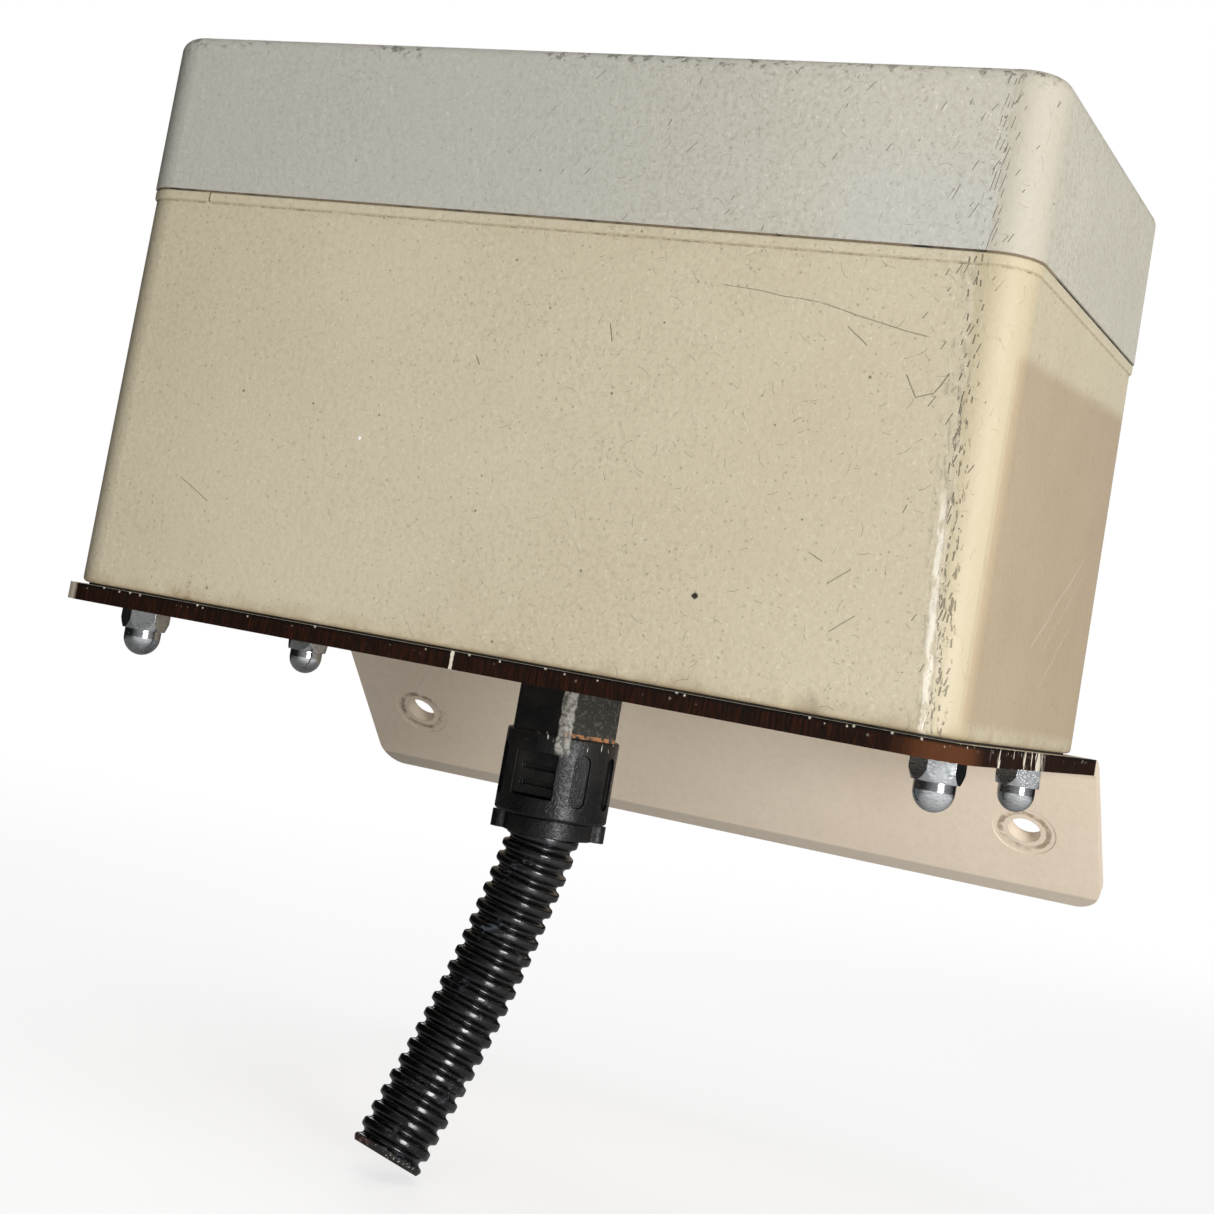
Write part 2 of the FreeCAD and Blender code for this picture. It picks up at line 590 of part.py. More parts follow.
def left_drive_plate():
    """Plate beside the case's left wall."""
    seats = [shaft_hole(OUTPUT_AXIS, OUTPUT_SHAFT_RADIUS, LEFT_PLATE),
             shaft_hole(MIDDLE_AXIS, MIDDLE_SHAFT_RADIUS, LEFT_PLATE)]
    return cut_all(drive_plate(LEFT_PLATE), seats)


def motor_screw_places():
    """Return the (y, z) of the two screws that hold the motor to its plate."""
    return [polar(MOTOR_AXIS, 22, MOTOR_BEARING + turn) for turn in (90, -90)]


def motor_plate():
    """Plate that carries the motor, and the other end of each shaft."""
    seats = [shaft_hole(OUTPUT_AXIS, OUTPUT_SHAFT_RADIUS, RIGHT_PLATE),
             shaft_hole(MIDDLE_AXIS, MIDDLE_SHAFT_RADIUS, RIGHT_PLATE),
             shaft_hole(LIMIT_AXIS, LIMIT_SHAFT_RADIUS, RIGHT_PLATE),
             along_x(MOTOR_AXIS, 12, RIGHT_PLATE[0] - 1, RIGHT_PLATE[1] + 1)]
    seats += [along_x(place, M5 + HOLE_GAP, RIGHT_PLATE[0] - 1, RIGHT_PLATE[1] + 1)
              for place in motor_screw_places()]
    return cut_all(drive_plate(RIGHT_PLATE), seats)


def drive_screws():
    """Screws through the plates' feet and the case's floor into the bracket."""
    return Part.Compound([screw_down(x, y, M5, WALL + 3, PLATE_BOTTOM + 0.4)
                          for x, y in drive_screw_places()])


def plate_spacers():
    """Four shouldered spacers, riveted over outside each drive plate."""
    spacers = []
    for place in spacer_places():
        spacer = along_x(place, 5, LEFT_PLATE[1], RIGHT_PLATE[0])
        spacer = spacer.fuse(along_x(place, M5, LEFT_PLATE[0] - 2, RIGHT_PLATE[1] + 2))
        for x0 in (LEFT_PLATE[0] - 2, RIGHT_PLATE[1]):
            spacer = spacer.fuse(along_x(place, 4, x0, x0 + 2))
        spacers.append(spacer.removeSplitter())
    return Part.Compound(spacers)


def bush(place, shaft_radius, plate, outward):
    """Return a flanged bronze bush in a drive plate, with its flange on the outward side."""
    sleeve = ring_x(place, shaft_radius + BUSH_WALL, shaft_radius + RUN_GAP, plate[0], plate[1])
    x0, x1 = (plate[0] - 1.5, plate[0]) if outward < 0 else (plate[1], plate[1] + 1.5)
    flange = ring_x(place, shaft_radius + BUSH_WALL + 2, shaft_radius + RUN_GAP, x0, x1)
    return sleeve.fuse(flange).removeSplitter()


def shaft_bushes():
    """Bronze bushes that the output, middle and limit shafts turn in."""
    return Part.Compound([
        bush(OUTPUT_AXIS, OUTPUT_SHAFT_RADIUS, LEFT_PLATE, -1),
        bush(OUTPUT_AXIS, OUTPUT_SHAFT_RADIUS, RIGHT_PLATE, -1),
        bush(MIDDLE_AXIS, MIDDLE_SHAFT_RADIUS, LEFT_PLATE, -1),
        bush(MIDDLE_AXIS, MIDDLE_SHAFT_RADIUS, RIGHT_PLATE, 1),
        bush(LIMIT_AXIS, LIMIT_SHAFT_RADIUS, RIGHT_PLATE, 1),
    ])


def output_shaft():
    """Output shaft: a turned-down stub with a flat outside, and a thin end for the limit pinion."""
    inner_end = RIGHT_PLATE[1] + 1.0
    stub_end = OUTPUT_END + OUTPUT_STUB_LENGTH
    stub = along_x(OUTPUT_AXIS, OUTPUT_STUB_RADIUS, OUTPUT_END, stub_end)
    stub = stub.makeChamfer(1.0, [edge for edge in stub.Edges
                                  if edge.BoundBox.XMax < OUTPUT_END + 0.1])
    y, z = OUTPUT_AXIS
    stub = stub.cut(box(OUTPUT_END - 1, stub_end - 4, y - 8, y + 8, z + OUTPUT_FLAT, z + 9))
    shaft = stub.fuse(along_x(OUTPUT_AXIS, OUTPUT_SHAFT_RADIUS, stub_end, inner_end))
    thin_end = along_x(OUTPUT_AXIS, OUTPUT_THIN_RADIUS, inner_end, inner_end + 10)
    return shaft.fuse(thin_end).removeSplitter()


def output_gear():
    """Large gear on the output shaft."""
    wheel = gear(OUTPUT_AXIS, FINAL_TEETH, FINAL_MODULE, OUTPUT_SHAFT_RADIUS, *OUTPUT_GEAR_SPAN,
                 facing(MIDDLE_BEARING))
    return spoked(wheel, OUTPUT_AXIS, 26, 8, 6, *OUTPUT_GEAR_SPAN)


def output_collars():
    """Collars that keep the output gear in its place on the shaft."""
    return Part.Compound([ring_x(OUTPUT_AXIS, 12, OUTPUT_SHAFT_RADIUS, x0, x1)
                          for x0, x1 in ((-126.5, OUTPUT_GEAR_SPAN[0]), (OUTPUT_GEAR_SPAN[1], -99.5))])


def middle_shaft():
    """Shaft that carries the first gear and the final pinion."""
    return along_x(MIDDLE_AXIS, MIDDLE_SHAFT_RADIUS, LEFT_PLATE[0] - 1, RIGHT_PLATE[1] + 1)


def final_pinion():
    """Small pinion that drives the output gear."""
    return gear(MIDDLE_AXIS, FINAL_PINION, FINAL_MODULE, MIDDLE_SHAFT_RADIUS, *FINAL_PINION_SPAN,
                gap_facing(MIDDLE_BEARING, FINAL_PINION))


def first_gear():
    """Gear that the motor's pinion drives."""
    wheel = gear(MIDDLE_AXIS, FIRST_TEETH, FIRST_MODULE, MIDDLE_SHAFT_RADIUS, *FIRST_GEAR_SPAN,
                 facing(MOTOR_BEARING))
    return spoked(wheel, MIDDLE_AXIS, 22, 7, 6, *FIRST_GEAR_SPAN)


def motor_pinion():
    """Pinion on the motor's shaft."""
    return gear(MOTOR_AXIS, FIRST_PINION, FIRST_MODULE, MOTOR_SHAFT_RADIUS, *MOTOR_PINION_SPAN,
                gap_facing(MOTOR_BEARING, FIRST_PINION))


def motor_shaft():
    """Motor shaft."""
    return along_x(MOTOR_AXIS, MOTOR_SHAFT_RADIUS, MOTOR_PINION_SPAN[0] - 1, MOTOR_END + 6)


def motor_armature():
    """Wound armature with its commutator, on the motor shaft."""
    core = ring_x(MOTOR_AXIS, 20.5, MOTOR_SHAFT_RADIUS, -72, -22)
    for slot in range(10):
        centre = polar(MOTOR_AXIS, 18.5, 36 * slot)
        core = core.cut(along_x(centre, 1.6, -73, -21))
    return core.fuse(ring_x(MOTOR_AXIS, 9, MOTOR_SHAFT_RADIUS, -22, -6)).removeSplitter()


def motor_can():
    """Steel can of the motor, closed at the plate's end."""
    can = along_x(MOTOR_AXIS, MOTOR_RADIUS, RIGHT_PLATE[1], MOTOR_END)
    can = can.makeFillet(2.5, [edge for edge in can.Edges
                               if edge.BoundBox.XMax < RIGHT_PLATE[1] + 0.1])
    can = can.cut(along_x(MOTOR_AXIS, MOTOR_RADIUS - 2.5, RIGHT_PLATE[1] + 4, MOTOR_END + 1))
    tools = [along_x(MOTOR_AXIS, MOTOR_SHAFT_RADIUS + RUN_GAP, RIGHT_PLATE[1] - 1, -80)]
    tools += [along_x(place, M5, RIGHT_PLATE[1] - 1, -80) for place in motor_screw_places()]
    return cut_all(can, tools)


def motor_magnets():
    """Two curved magnets inside the can."""
    ring = ring_x(MOTOR_AXIS, MOTOR_RADIUS - 2.6, 21.4, -74, -20)
    y, z = MOTOR_AXIS
    gap = box(-80, -10, y - 5, y + 5, z - 40, z + 40)
    return Part.Compound(ring.cut(gap).Solids)


def motor_end_cap():
    """Moulded end cap with the brush holders and the rear bearing."""
    cap = along_x(MOTOR_AXIS, MOTOR_RADIUS, MOTOR_END, MOTOR_CAP_END)
    cap = cap.makeFillet(3, [edge for edge in cap.Edges if edge.BoundBox.XMin > MOTOR_CAP_END - 0.1])
    cap = cap.cut(along_x(MOTOR_AXIS, 24, MOTOR_END - 1, MOTOR_END + 3))
    cap = cap.cut(along_x(MOTOR_AXIS, MOTOR_SHAFT_RADIUS + RUN_GAP, MOTOR_END - 1, MOTOR_END + 6.5))
    y, z = MOTOR_AXIS
    for side in (-1, 1):
        low, high = sorted((z + side * 14, z + side * 22))
        cap = cap.fuse(box(MOTOR_CAP_END, MOTOR_CAP_END + 5, y - 5, y + 5, low, high))
    return cap.removeSplitter()


def motor_brushes():
    """Two carbon brushes that bear on the commutator."""
    y, z = MOTOR_AXIS
    return Part.Compound([box(-18, MOTOR_END + 3, y - 3, y + 3, *sorted((z + side * 9.3, z + side * 16)))
                          for side in (-1, 1)])


def motor_screws():
    """Screws that hold the motor on its plate."""
    screws = []
    for place in motor_screw_places():
        shank = along_x(place, M5 - SCREW_GAP, RIGHT_PLATE[0], RIGHT_PLATE[1] + 3.5)
        head = along_x(place, 4.4, RIGHT_PLATE[0] - 2.6, RIGHT_PLATE[0])
        screws.append(shank.fuse(head).removeSplitter())
    return Part.Compound(screws)


def output_seal():
    """Rubber shaft seal in the case's left wall."""
    outside = -CASE_WIDTH / 2
    seal = along_x(OUTPUT_AXIS, OUTPUT_SEAL_RADIUS - 0.05, outside, outside + WALL)
    seal = seal.fuse(along_x(OUTPUT_AXIS, 16, outside - 1.4, outside)).removeSplitter()
    return seal.cut(along_x(OUTPUT_AXIS, OUTPUT_SHAFT_RADIUS + RUN_GAP, outside - 3, outside + 5))


# ---- limit switches -------------------------------------------------------------------------
def limit_pinion():
    """Small pinion on the output shaft's thin end."""
    return gear(OUTPUT_AXIS, LIMIT_PINION, LIMIT_MODULE, OUTPUT_THIN_RADIUS, *LIMIT_PINION_SPAN,
                facing(LIMIT_BEARING))


def limit_gear():
    """Gear that turns once while the door makes its whole travel."""
    wheel = gear(LIMIT_AXIS, LIMIT_TEETH, LIMIT_MODULE, LIMIT_SHAFT_RADIUS, *LIMIT_GEAR_SPAN,
                 gap_facing(LIMIT_BEARING, LIMIT_TEETH))
    return spoked(wheel, LIMIT_AXIS, 19, 7, 6, *LIMIT_GEAR_SPAN)


def limit_shaft():
    """Shaft of the limit cams."""
    return along_x(LIMIT_AXIS, LIMIT_SHAFT_RADIUS, RIGHT_PLATE[0], -42)


def limit_cams():
    """Two notched cam discs, one for each end of the door's travel."""
    cams = []
    for x0, degrees in CAMS:
        disc = ring_x(LIMIT_AXIS, CAM_RADIUS, LIMIT_SHAFT_RADIUS, x0, x0 + CAM_THICK)
        centre = polar(LIMIT_AXIS, CAM_RADIUS, degrees)
        cams.append(disc.cut(along_x(centre, 3, x0 - 1, x0 + CAM_THICK + 1)))
    return Part.Compound(cams)


def switch_pin_places():
    """Return the (y, z) of the two pins that carry the limit switches."""
    middle = (SWITCH_Z[0] + SWITCH_Z[1]) / 2
    return [(LIMIT_AXIS[0] - 5, middle), (LIMIT_AXIS[0] + 5, middle)]


def limit_bracket():
    """Upright sheet that carries the cam shaft's end and the switches."""
    x0, x1 = LIMIT_BRACKET
    y0, y1 = LIMIT_AXIS[0] - 14, LIMIT_AXIS[0] + 14
    panel = box(x0, x1, y0, y1, WALL, SWITCH_Z[1] + 3)
    foot = box(x1, x1 + 12, y0, y1, WALL, WALL + 2)
    tools = [along_x(LIMIT_AXIS, LIMIT_SHAFT_RADIUS + RUN_GAP, x0 - 1, x1 + 1)]
    tools += [along_x(place, SWITCH_PIN_RADIUS + 0.1, x0 - 1, x1 + 1) for place in switch_pin_places()]
    tools += [upright(x, y, M3 + HOLE_GAP, 0, 8) for x, y in bracket_screw_places()]
    return cut_all(panel.fuse(foot).removeSplitter(), tools)


def limit_switches():
    """Two microswitches over the cams."""
    switches = []
    y, _ = LIMIT_AXIS
    for x0, x1 in SWITCH_SPANS:
        body = box(x0, x1, y - 10, y + 10, *SWITCH_Z)
        plunger = upright((x0 + x1) / 2, y, 1.5, SWITCH_Z[0] - 1.2, SWITCH_Z[0])
        tabs = [box((x0 + x1) / 2 - 2, (x0 + x1) / 2 + 2, y + step - 0.4, y + step + 0.4,
                    SWITCH_Z[1], SWITCH_Z[1] + 5) for step in (-7, 0, 7)]
        for piece in [plunger] + tabs:
            body = body.fuse(piece)
        tools = [along_x(place, SWITCH_PIN_RADIUS + 0.1, x0 - 1, x1 + 1) for place in switch_pin_places()]
        switches.append(cut_all(body.removeSplitter(), tools))
    return Part.Compound(switches)


def switch_pins():
    """Pins through both switches and the limit bracket."""
    x0, x1 = SWITCH_SPANS[0][0] - 1, LIMIT_BRACKET[1] + 1
    return Part.Compound([along_x(place, SWITCH_PIN_RADIUS, x0, x1) for place in switch_pin_places()])


# ---- electronics ----------------------------------------------------------------------------
def board_screw_places():
    """Return the (x, y) of the control board's corner screws."""
    x0, x1, y0, y1 = BOARD
    return [(x, y) for x in (x0 + 5, x1 - 5) for y in (y0 + 5, y1 - 5)]


def bracket_screw_places():
    """Return the (x, y) of the limit bracket's foot screws."""
    return [(LIMIT_BRACKET[1] + 7, LIMIT_AXIS[0] + step) for step in (-8, 8)]


def transformer_screw_places():
    """Return the (x, y) of the transformer strap's screws."""
    x0, x1, y0, y1 = TRANSFORMER
    return [(x0 - 5, (y0 + y1) / 2), (x1 + 5, (y0 + y1) / 2)]


def low_screw_places():
    """Return every M3 screw's (x, y) that goes through the case's floor."""
    return board_screw_places() + bracket_screw_places() + transformer_screw_places()


def control_board():
    """Circuit board with its corner holes, and the radio receiver's board soldered upright on it."""
    x0, x1, y0, y1 = BOARD
    board = box(x0, x1, y0, y1, BOARD_BOTTOM, BOARD_TOP)
    receiver = box(x1 - 36, x1 - 8, 1, 2.6, BOARD_TOP, BOARD_TOP + 18)
    shield = box(x1 - 32, x1 - 16, -2, 1, BOARD_TOP + 4, BOARD_TOP + 15)
    board = board.fuse(receiver).fuse(shield).removeSplitter()
    return cut_all(board, [upright(x, y, M3 + HOLE_GAP, 5, 20) for x, y in board_screw_places()])


def board_standoffs():
    """Pillars under the control board."""
    return Part.Compound([upright_ring(x, y, 3.2, M3 + 0.1, WALL, BOARD_BOTTOM)
                          for x, y in board_screw_places()])


def low_screws():
    """Small screws of the board, the limit bracket and the transformer, down to the bracket."""
    tip = PLATE_BOTTOM + 1.0
    screws = [screw_down(x, y, M3, BOARD_TOP, tip) for x, y in board_screw_places()]
    screws += [screw_down(x, y, M3, WALL + 2, tip) for x, y in bracket_screw_places()]
    screws += [screw_down(x, y, M3, WALL + STRAP_THICK, tip) for x, y in transformer_screw_places()]
    return Part.Compound(screws)


def transformer_core():
    """Stack of transformer plates with two windows."""
    x0, x1, y0, y1 = TRANSFORMER
    core = box(x0, x1, y0 + 8, y1 - 8, WALL, WALL + CORE_HEIGHT)
    for start in (x0 + 9, x1 - 20):
        core = core.cut(box(start, start + 11, y0, y1, WALL + 9, WALL + CORE_HEIGHT - 9))
    return core


def transformer_coil():
    """Winding round the middle limb of the core, on its bobbin."""
    x0, x1, y0, y1 = TRANSFORMER
    coil = box(x0 + 9.3, x1 - 9.3, y0, y1, WALL + 9.3, WALL + CORE_HEIGHT - 9.3)
    coil = coil.makeFillet(3, upright_edges(coil))
    return coil.cut(box(x0 + 19.8, x1 - 19.8, y0 + 7.8, y1 - 7.8, WALL, WALL + 50))


def transformer_strap():
    """Bent strap that holds the transformer down."""
    x0, x1, y0, y1 = TRANSFORMER
    middle = (y0 + y1) / 2
    strap = box(x0 - STRAP_THICK, x1 + STRAP_THICK, middle - 6, middle + 6, WALL,
                WALL + CORE_HEIGHT + STRAP_THICK)
    strap = strap.cut(box(x0, x1, y0, y1, WALL - 1, WALL + CORE_HEIGHT))
    for low, high in ((x0 - 10, x0), (x1, x1 + 10)):
        foot = box(low, high, middle - 6, middle + 6, WALL, WALL + STRAP_THICK)
        strap = strap.fuse(foot)
    holes = [upright(x, y, M3 + HOLE_GAP, 0, 8) for x, y in transformer_screw_places()]
    return cut_all(strap.removeSplitter(), holes)


def relays():
    """Two power relays that reverse the motor."""
    return Part.Compound([box(46, 74, y0, y0 + 12.5, BOARD_TOP, BOARD_TOP + 16) for y0 in (-14, -30)])


def terminal_block():
    """Screw terminals along the board's left edge."""
    block = box(36, 44, -58, 2, BOARD_TOP, BOARD_TOP + 11)
    for way in range(10):
        y = -55 + 6 * way
        block = block.cut(upright(40.5, y, 2.0, BOARD_TOP + 7, BOARD_TOP + 12))
        block = block.cut(box(35, 38, y - 1.7, y + 1.7, BOARD_TOP + 2, BOARD_TOP + 6))
    return block


def smoothing_capacitor():
    """Upright electrolytic capacitor."""
    top = BOARD_TOP + CAPACITOR_HEIGHT
    can = upright(*CAPACITOR, CAPACITOR_RADIUS, BOARD_TOP, top)
    return can.makeFillet(1.2, edges_at(can, top))


def heat_sink():
    """Finned heat sink for the motor's transistors."""
    x0, x1, y0, y1 = HEAT_SINK
    top, back = BOARD_TOP + HEAT_SINK_HEIGHT, y1 - 4
    sink = box(x0, x1, back, y1, BOARD_TOP, top)
    fins = 6
    for fin in range(fins):
        start = x0 + (x1 - 2 - x0) * fin / (fins - 1)
        sink = sink.fuse(box(start, start + 2, y0, back, BOARD_TOP, top))
    return sink.removeSplitter()


def button_bases():
    """Square housings of the two push buttons."""
    bases = []
    for x, y in BUTTON_PLACES.values():
        base = box(x - 6, x + 6, y - 6, y + 6, BOARD_TOP, BOARD_TOP + 7)
        bases.append(base.cut(upright(x, y, 3.8, BOARD_TOP + 2, BOARD_TOP + 8)))
    return Part.Compound(bases)


def button_cap(name):
    """Round cap of a push button, above its housing by its travel."""
    x, y = BUTTON_PLACES[name]
    stem = upright(x, y, 3.5, BOARD_TOP + 3.6, BOARD_TOP + 8.6)
    head = upright(x, y, 5.2, BOARD_TOP + 8.6, BOARD_TOP + 11.6)
    head = head.makeFillet(0.8, edges_at(head, BOARD_TOP + 11.6))
    return stem.fuse(head).removeSplitter()


def leads(routes, radius, label):
    """Return a group of insulated wires, one along each route."""
    return Part.Compound([sweep(tube_path(route, label), route, radius) for route in routes])


def internal_leads():
    """Wires to the terminal block, from the conduit's fitting and from the motor's brushes."""
    entry_x, entry_z = 38.0, BOARD_TOP + 4
    y, z = MOTOR_AXIS
    brush_x = MOTOR_CAP_END + 5
    routes = [[(4 * way - 4, 0, 4), (4 * way - 4, 0, 26), (12, -4 - 3 * way, 38),
               (27, -7 - 6 * way, 28), (31, -7 - 6 * way, entry_z), (entry_x, -7 - 6 * way, entry_z)]
              for way in range(3)]
    routes.append([(brush_x, y, z - 18), (brush_x + 8, y, z - 18), (28, -34, 60), (30, -43, 26),
                   (31, -43, entry_z), (entry_x, -43, entry_z)])
    routes.append([(brush_x, y, z + 18), (brush_x + 11, y, z + 18), (33, -40, 66), (31, -49, 28),
                   (31, -49, entry_z), (entry_x, -49, entry_z)])
    return leads(routes, LEAD_RADIUS, "internal lead")


# ---- hand out -------------------------------------------------------------------------------
def cap_nuts():
    """The four cap nuts."""
    return Part.Compound([cap_nut(side, end) for side in (-1, 1) for end in (-1, 1)])


NODES = {
    "case_body": case_body, "rim_frame": rim_frame, "lid_seal": lid_seal, "lid": lid,
    "lid_posts": lambda: four(lid_post, POST_X, POST_Y),
    "lid_washers": lambda: four(lid_washer, POST_X, POST_Y),
    "lid_screws": lambda: four(lid_screw, POST_X, POST_Y),
    "base_gasket": base_gasket, "mounting_bracket": mounting_bracket,
    "case_bolts": lambda: four(case_bolt, BOLT_X, BOLT_Y),
    "case_washers": lambda: four(case_washer, BOLT_X, BOLT_Y),
    "cap_nuts": cap_nuts,
    "conduit_fitting": conduit_fitting, "fitting_latches": fitting_latches,
    "locking_ring": locking_ring, "fitting_locknut": fitting_locknut,
    "fitting_seal": fitting_seal, "conduit": conduit,
    "left_drive_plate": left_drive_plate, "motor_plate": motor_plate,
    "drive_screws": drive_screws, "plate_spacers": plate_spacers,
    "shaft_bushes": shaft_bushes, "output_shaft": output_shaft,
    "output_gear": output_gear, "output_collars": output_collars, "output_seal": output_seal,
    "middle_shaft": middle_shaft, "final_pinion": final_pinion, "first_gear": first_gear,
    "motor_pinion": motor_pinion, "motor_shaft": motor_shaft, "motor_armature": motor_armature,
    "motor_can": motor_can, "motor_magnets": motor_magnets, "motor_end_cap": motor_end_cap,
    "motor_brushes": motor_brushes, "motor_screws": motor_screws,
    "limit_pinion": limit_pinion, "limit_gear": limit_gear, "limit_shaft": limit_shaft,
    "limit_cams": limit_cams, "limit_bracket": limit_bracket, "limit_switches": limit_switches,
    "switch_pins": switch_pins,
    "control_board": control_board, "board_standoffs": board_standoffs, "low_screws": low_screws,
    "transformer_core": transformer_core, "transformer_coil": transformer_coil,
    "transformer_strap": transformer_strap, "relays": relays, "terminal_block": terminal_block,
    "smoothing_capacitor": smoothing_capacitor, "heat_sink": heat_sink,
    "internal_leads": internal_leads, "button_bases": button_bases,
    "learn_button": lambda: button_cap("learn_button"),
    "set_button": lambda: button_cap("set_button"),
}


# These are drawn round the fitting's own axis.
FITTING_NODES = ("conduit_fitting", "fitting_latches", "locking_ring", "fitting_locknut",
                 "fitting_seal", "conduit")


def main():
    """Write every node's STEP file in the mount's frame."""
    os.makedirs("parts", exist_ok=True)
    for name, make in NODES.items():
        shape = make()
        if name in FITTING_NODES:
            shape.translate(Vector(FITTING_X, 0, 0))
        shape.translate(MOUNT * -1)
        if not shape.isValid() or not shape.Solids:
            print("CHECK", name, "valid", shape.isValid(), "solids", len(shape.Solids))
        shape.exportStep("parts/%s.step" % name)


main()
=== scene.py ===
"""Looks of the garage door opener drive unit: finishes, ribbed conduit, floor, lights and camera.

Metres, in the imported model's frame: the origin is the middle of the bracket's two fixing holes,
+X is the case's right seen from its front, +Y its back and +Z up.
"""
import json
import math

import bpy
from mathutils import Matrix, Vector


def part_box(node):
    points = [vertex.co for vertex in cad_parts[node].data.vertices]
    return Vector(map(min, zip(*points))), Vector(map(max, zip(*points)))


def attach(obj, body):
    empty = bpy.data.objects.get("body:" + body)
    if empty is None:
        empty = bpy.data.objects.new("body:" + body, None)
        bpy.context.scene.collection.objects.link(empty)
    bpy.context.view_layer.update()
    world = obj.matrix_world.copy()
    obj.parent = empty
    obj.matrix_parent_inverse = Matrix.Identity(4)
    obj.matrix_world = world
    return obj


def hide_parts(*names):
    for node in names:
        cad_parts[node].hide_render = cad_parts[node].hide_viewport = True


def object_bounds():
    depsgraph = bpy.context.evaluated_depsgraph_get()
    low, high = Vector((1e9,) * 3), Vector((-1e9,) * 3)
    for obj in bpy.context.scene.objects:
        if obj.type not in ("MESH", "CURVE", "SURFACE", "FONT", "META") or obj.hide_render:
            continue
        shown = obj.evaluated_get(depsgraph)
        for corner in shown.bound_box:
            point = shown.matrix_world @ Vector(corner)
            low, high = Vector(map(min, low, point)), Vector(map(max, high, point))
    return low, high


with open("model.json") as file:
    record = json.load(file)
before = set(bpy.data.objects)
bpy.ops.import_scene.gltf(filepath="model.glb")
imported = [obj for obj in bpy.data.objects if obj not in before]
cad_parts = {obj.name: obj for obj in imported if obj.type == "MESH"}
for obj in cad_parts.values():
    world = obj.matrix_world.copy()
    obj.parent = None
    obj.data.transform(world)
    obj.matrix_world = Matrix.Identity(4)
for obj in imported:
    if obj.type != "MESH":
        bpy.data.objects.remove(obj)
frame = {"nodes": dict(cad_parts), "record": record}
cad_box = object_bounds()

# ---- places taken from the frame --------------------------------------------------------------
CASE_LOW, CASE_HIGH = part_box("case_body")
LID_LOW, LID_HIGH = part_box("lid")
PLATE_LOW, PLATE_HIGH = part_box("mounting_bracket")
CASE_MIDDLE = (CASE_LOW.y + CASE_HIGH.y) / 2
FRONT = CASE_LOW.y
BASE = CASE_LOW.z
PLATE_THICK = 0.005
PLATE_TOP = PLATE_HIGH.z
BEND_START = CASE_MIDDLE + 0.0915

# ---- camera -----------------------------------------------------------------------------------
CAMERA_PLACE = Vector((0.2637, -0.6851, 0.0321))
CAMERA_TURN = math.radians(25.13)
CAMERA_RISE = math.radians(4.5)
CAMERA_ROLL = math.radians(9.98)
CAMERA_LENS = 60.3
CAMERA_SHIFT = -0.1

# Degrees to the right of the case's front, from which the main light comes.
KEY_TURN = 52

# ---- conduit ----------------------------------------------------------------------------------
# The route is the one in the part's source, from the fitting's axis at the case's underside.
FITTING_X = -0.001
CONDUIT_ORIGIN = Vector((FITTING_X, CASE_MIDDLE, BASE))
CONDUIT_ROUTE = [(0, 0, -0.021), (0, 0, -0.05), (-0.0042, -0.002, -0.07), (-0.0079, -0.005, -0.089),
                 (-0.012, -0.0102, -0.109), (-0.0165, -0.0174, -0.1297), (-0.0211, -0.026, -0.1502)]
CONDUIT_RADIUS = 0.0112
RIB_PITCH = 0.00516
RIB_DEPTH = 0.0018
CONDUIT_WALL = 0.0009
RINGS_PER_RIB = 12
SIDES = 56
CUT_CHAMFER = 0.0012
END_RINGS = 5

# ---- fitting ----------------------------------------------------------------------------------
FITTING_CORNER_TURN = -64.5
FITTING_CORNER_REACH = 0.0172

# ---- wear -------------------------------------------------------------------------------------
EDGE_ROUNDING = 0.0002
SCRATCH_ROUGHNESS = 0.3
DUST = 0.25

# ---- marks on the body ------------------------------------------------------------------------
# Each scratch is (start, end, half width), with places across and up from the base's middle.
FRONT_SCRATCHES = [
    ((0.056, 0.1075), (0.085, 0.1045), 0.00016), ((0.084, 0.1046), (0.115, 0.0985), 0.00022),
    ((-0.1045, 0.0355), (-0.093, 0.0295), 0.0002), ((0.026, 0.094), (0.0275, 0.089), 0.0003),
    ((0.0928, 0.0996), (0.0989, 0.0948), 0.00026), ((0.110, 0.0885), (0.1134, 0.0827), 0.0003),
    ((0.1134, 0.0827), (0.1183, 0.0844), 0.00028), ((0.1183, 0.0844), (0.1213, 0.0899), 0.00034),
    ((-0.0135, 0.0812), (-0.0118, 0.0785), 0.0003), ((0.0985, 0.033), (0.1045, 0.0375), 0.0002),
    ((0.101, 0.021), (0.1075, 0.0262), 0.0002), ((0.0925, 0.0405), (0.0965, 0.0385), 0.00022)]
SIDE_SCRATCHES = [
    ((-0.0119, 0.0268), (0.0408, 0.0576), 0.0003), ((0.004, 0.0275), (0.047, 0.0555), 0.0002),
    ((0.006, 0.017), (0.034, 0.0365), 0.00022)]
CORNER_LINE = 0.1317
CORNER_LEAN = 0.065
# Top and slant of the painted shade over the right side's lower part.
SIDE_SHADE_TOP = 0.101
SIDE_SHADE_SLANT = -0.06


def linear(hex_colour):
    """Return a linear RGBA colour from an sRGB one such as "c8bfa8"."""
    values = [int(hex_colour[i:i + 2], 16) / 255 for i in (0, 2, 4)]
    return (*[v / 12.92 if v <= 0.04045 else ((v + 0.055) / 1.055) ** 2.4 for v in values], 1.0)


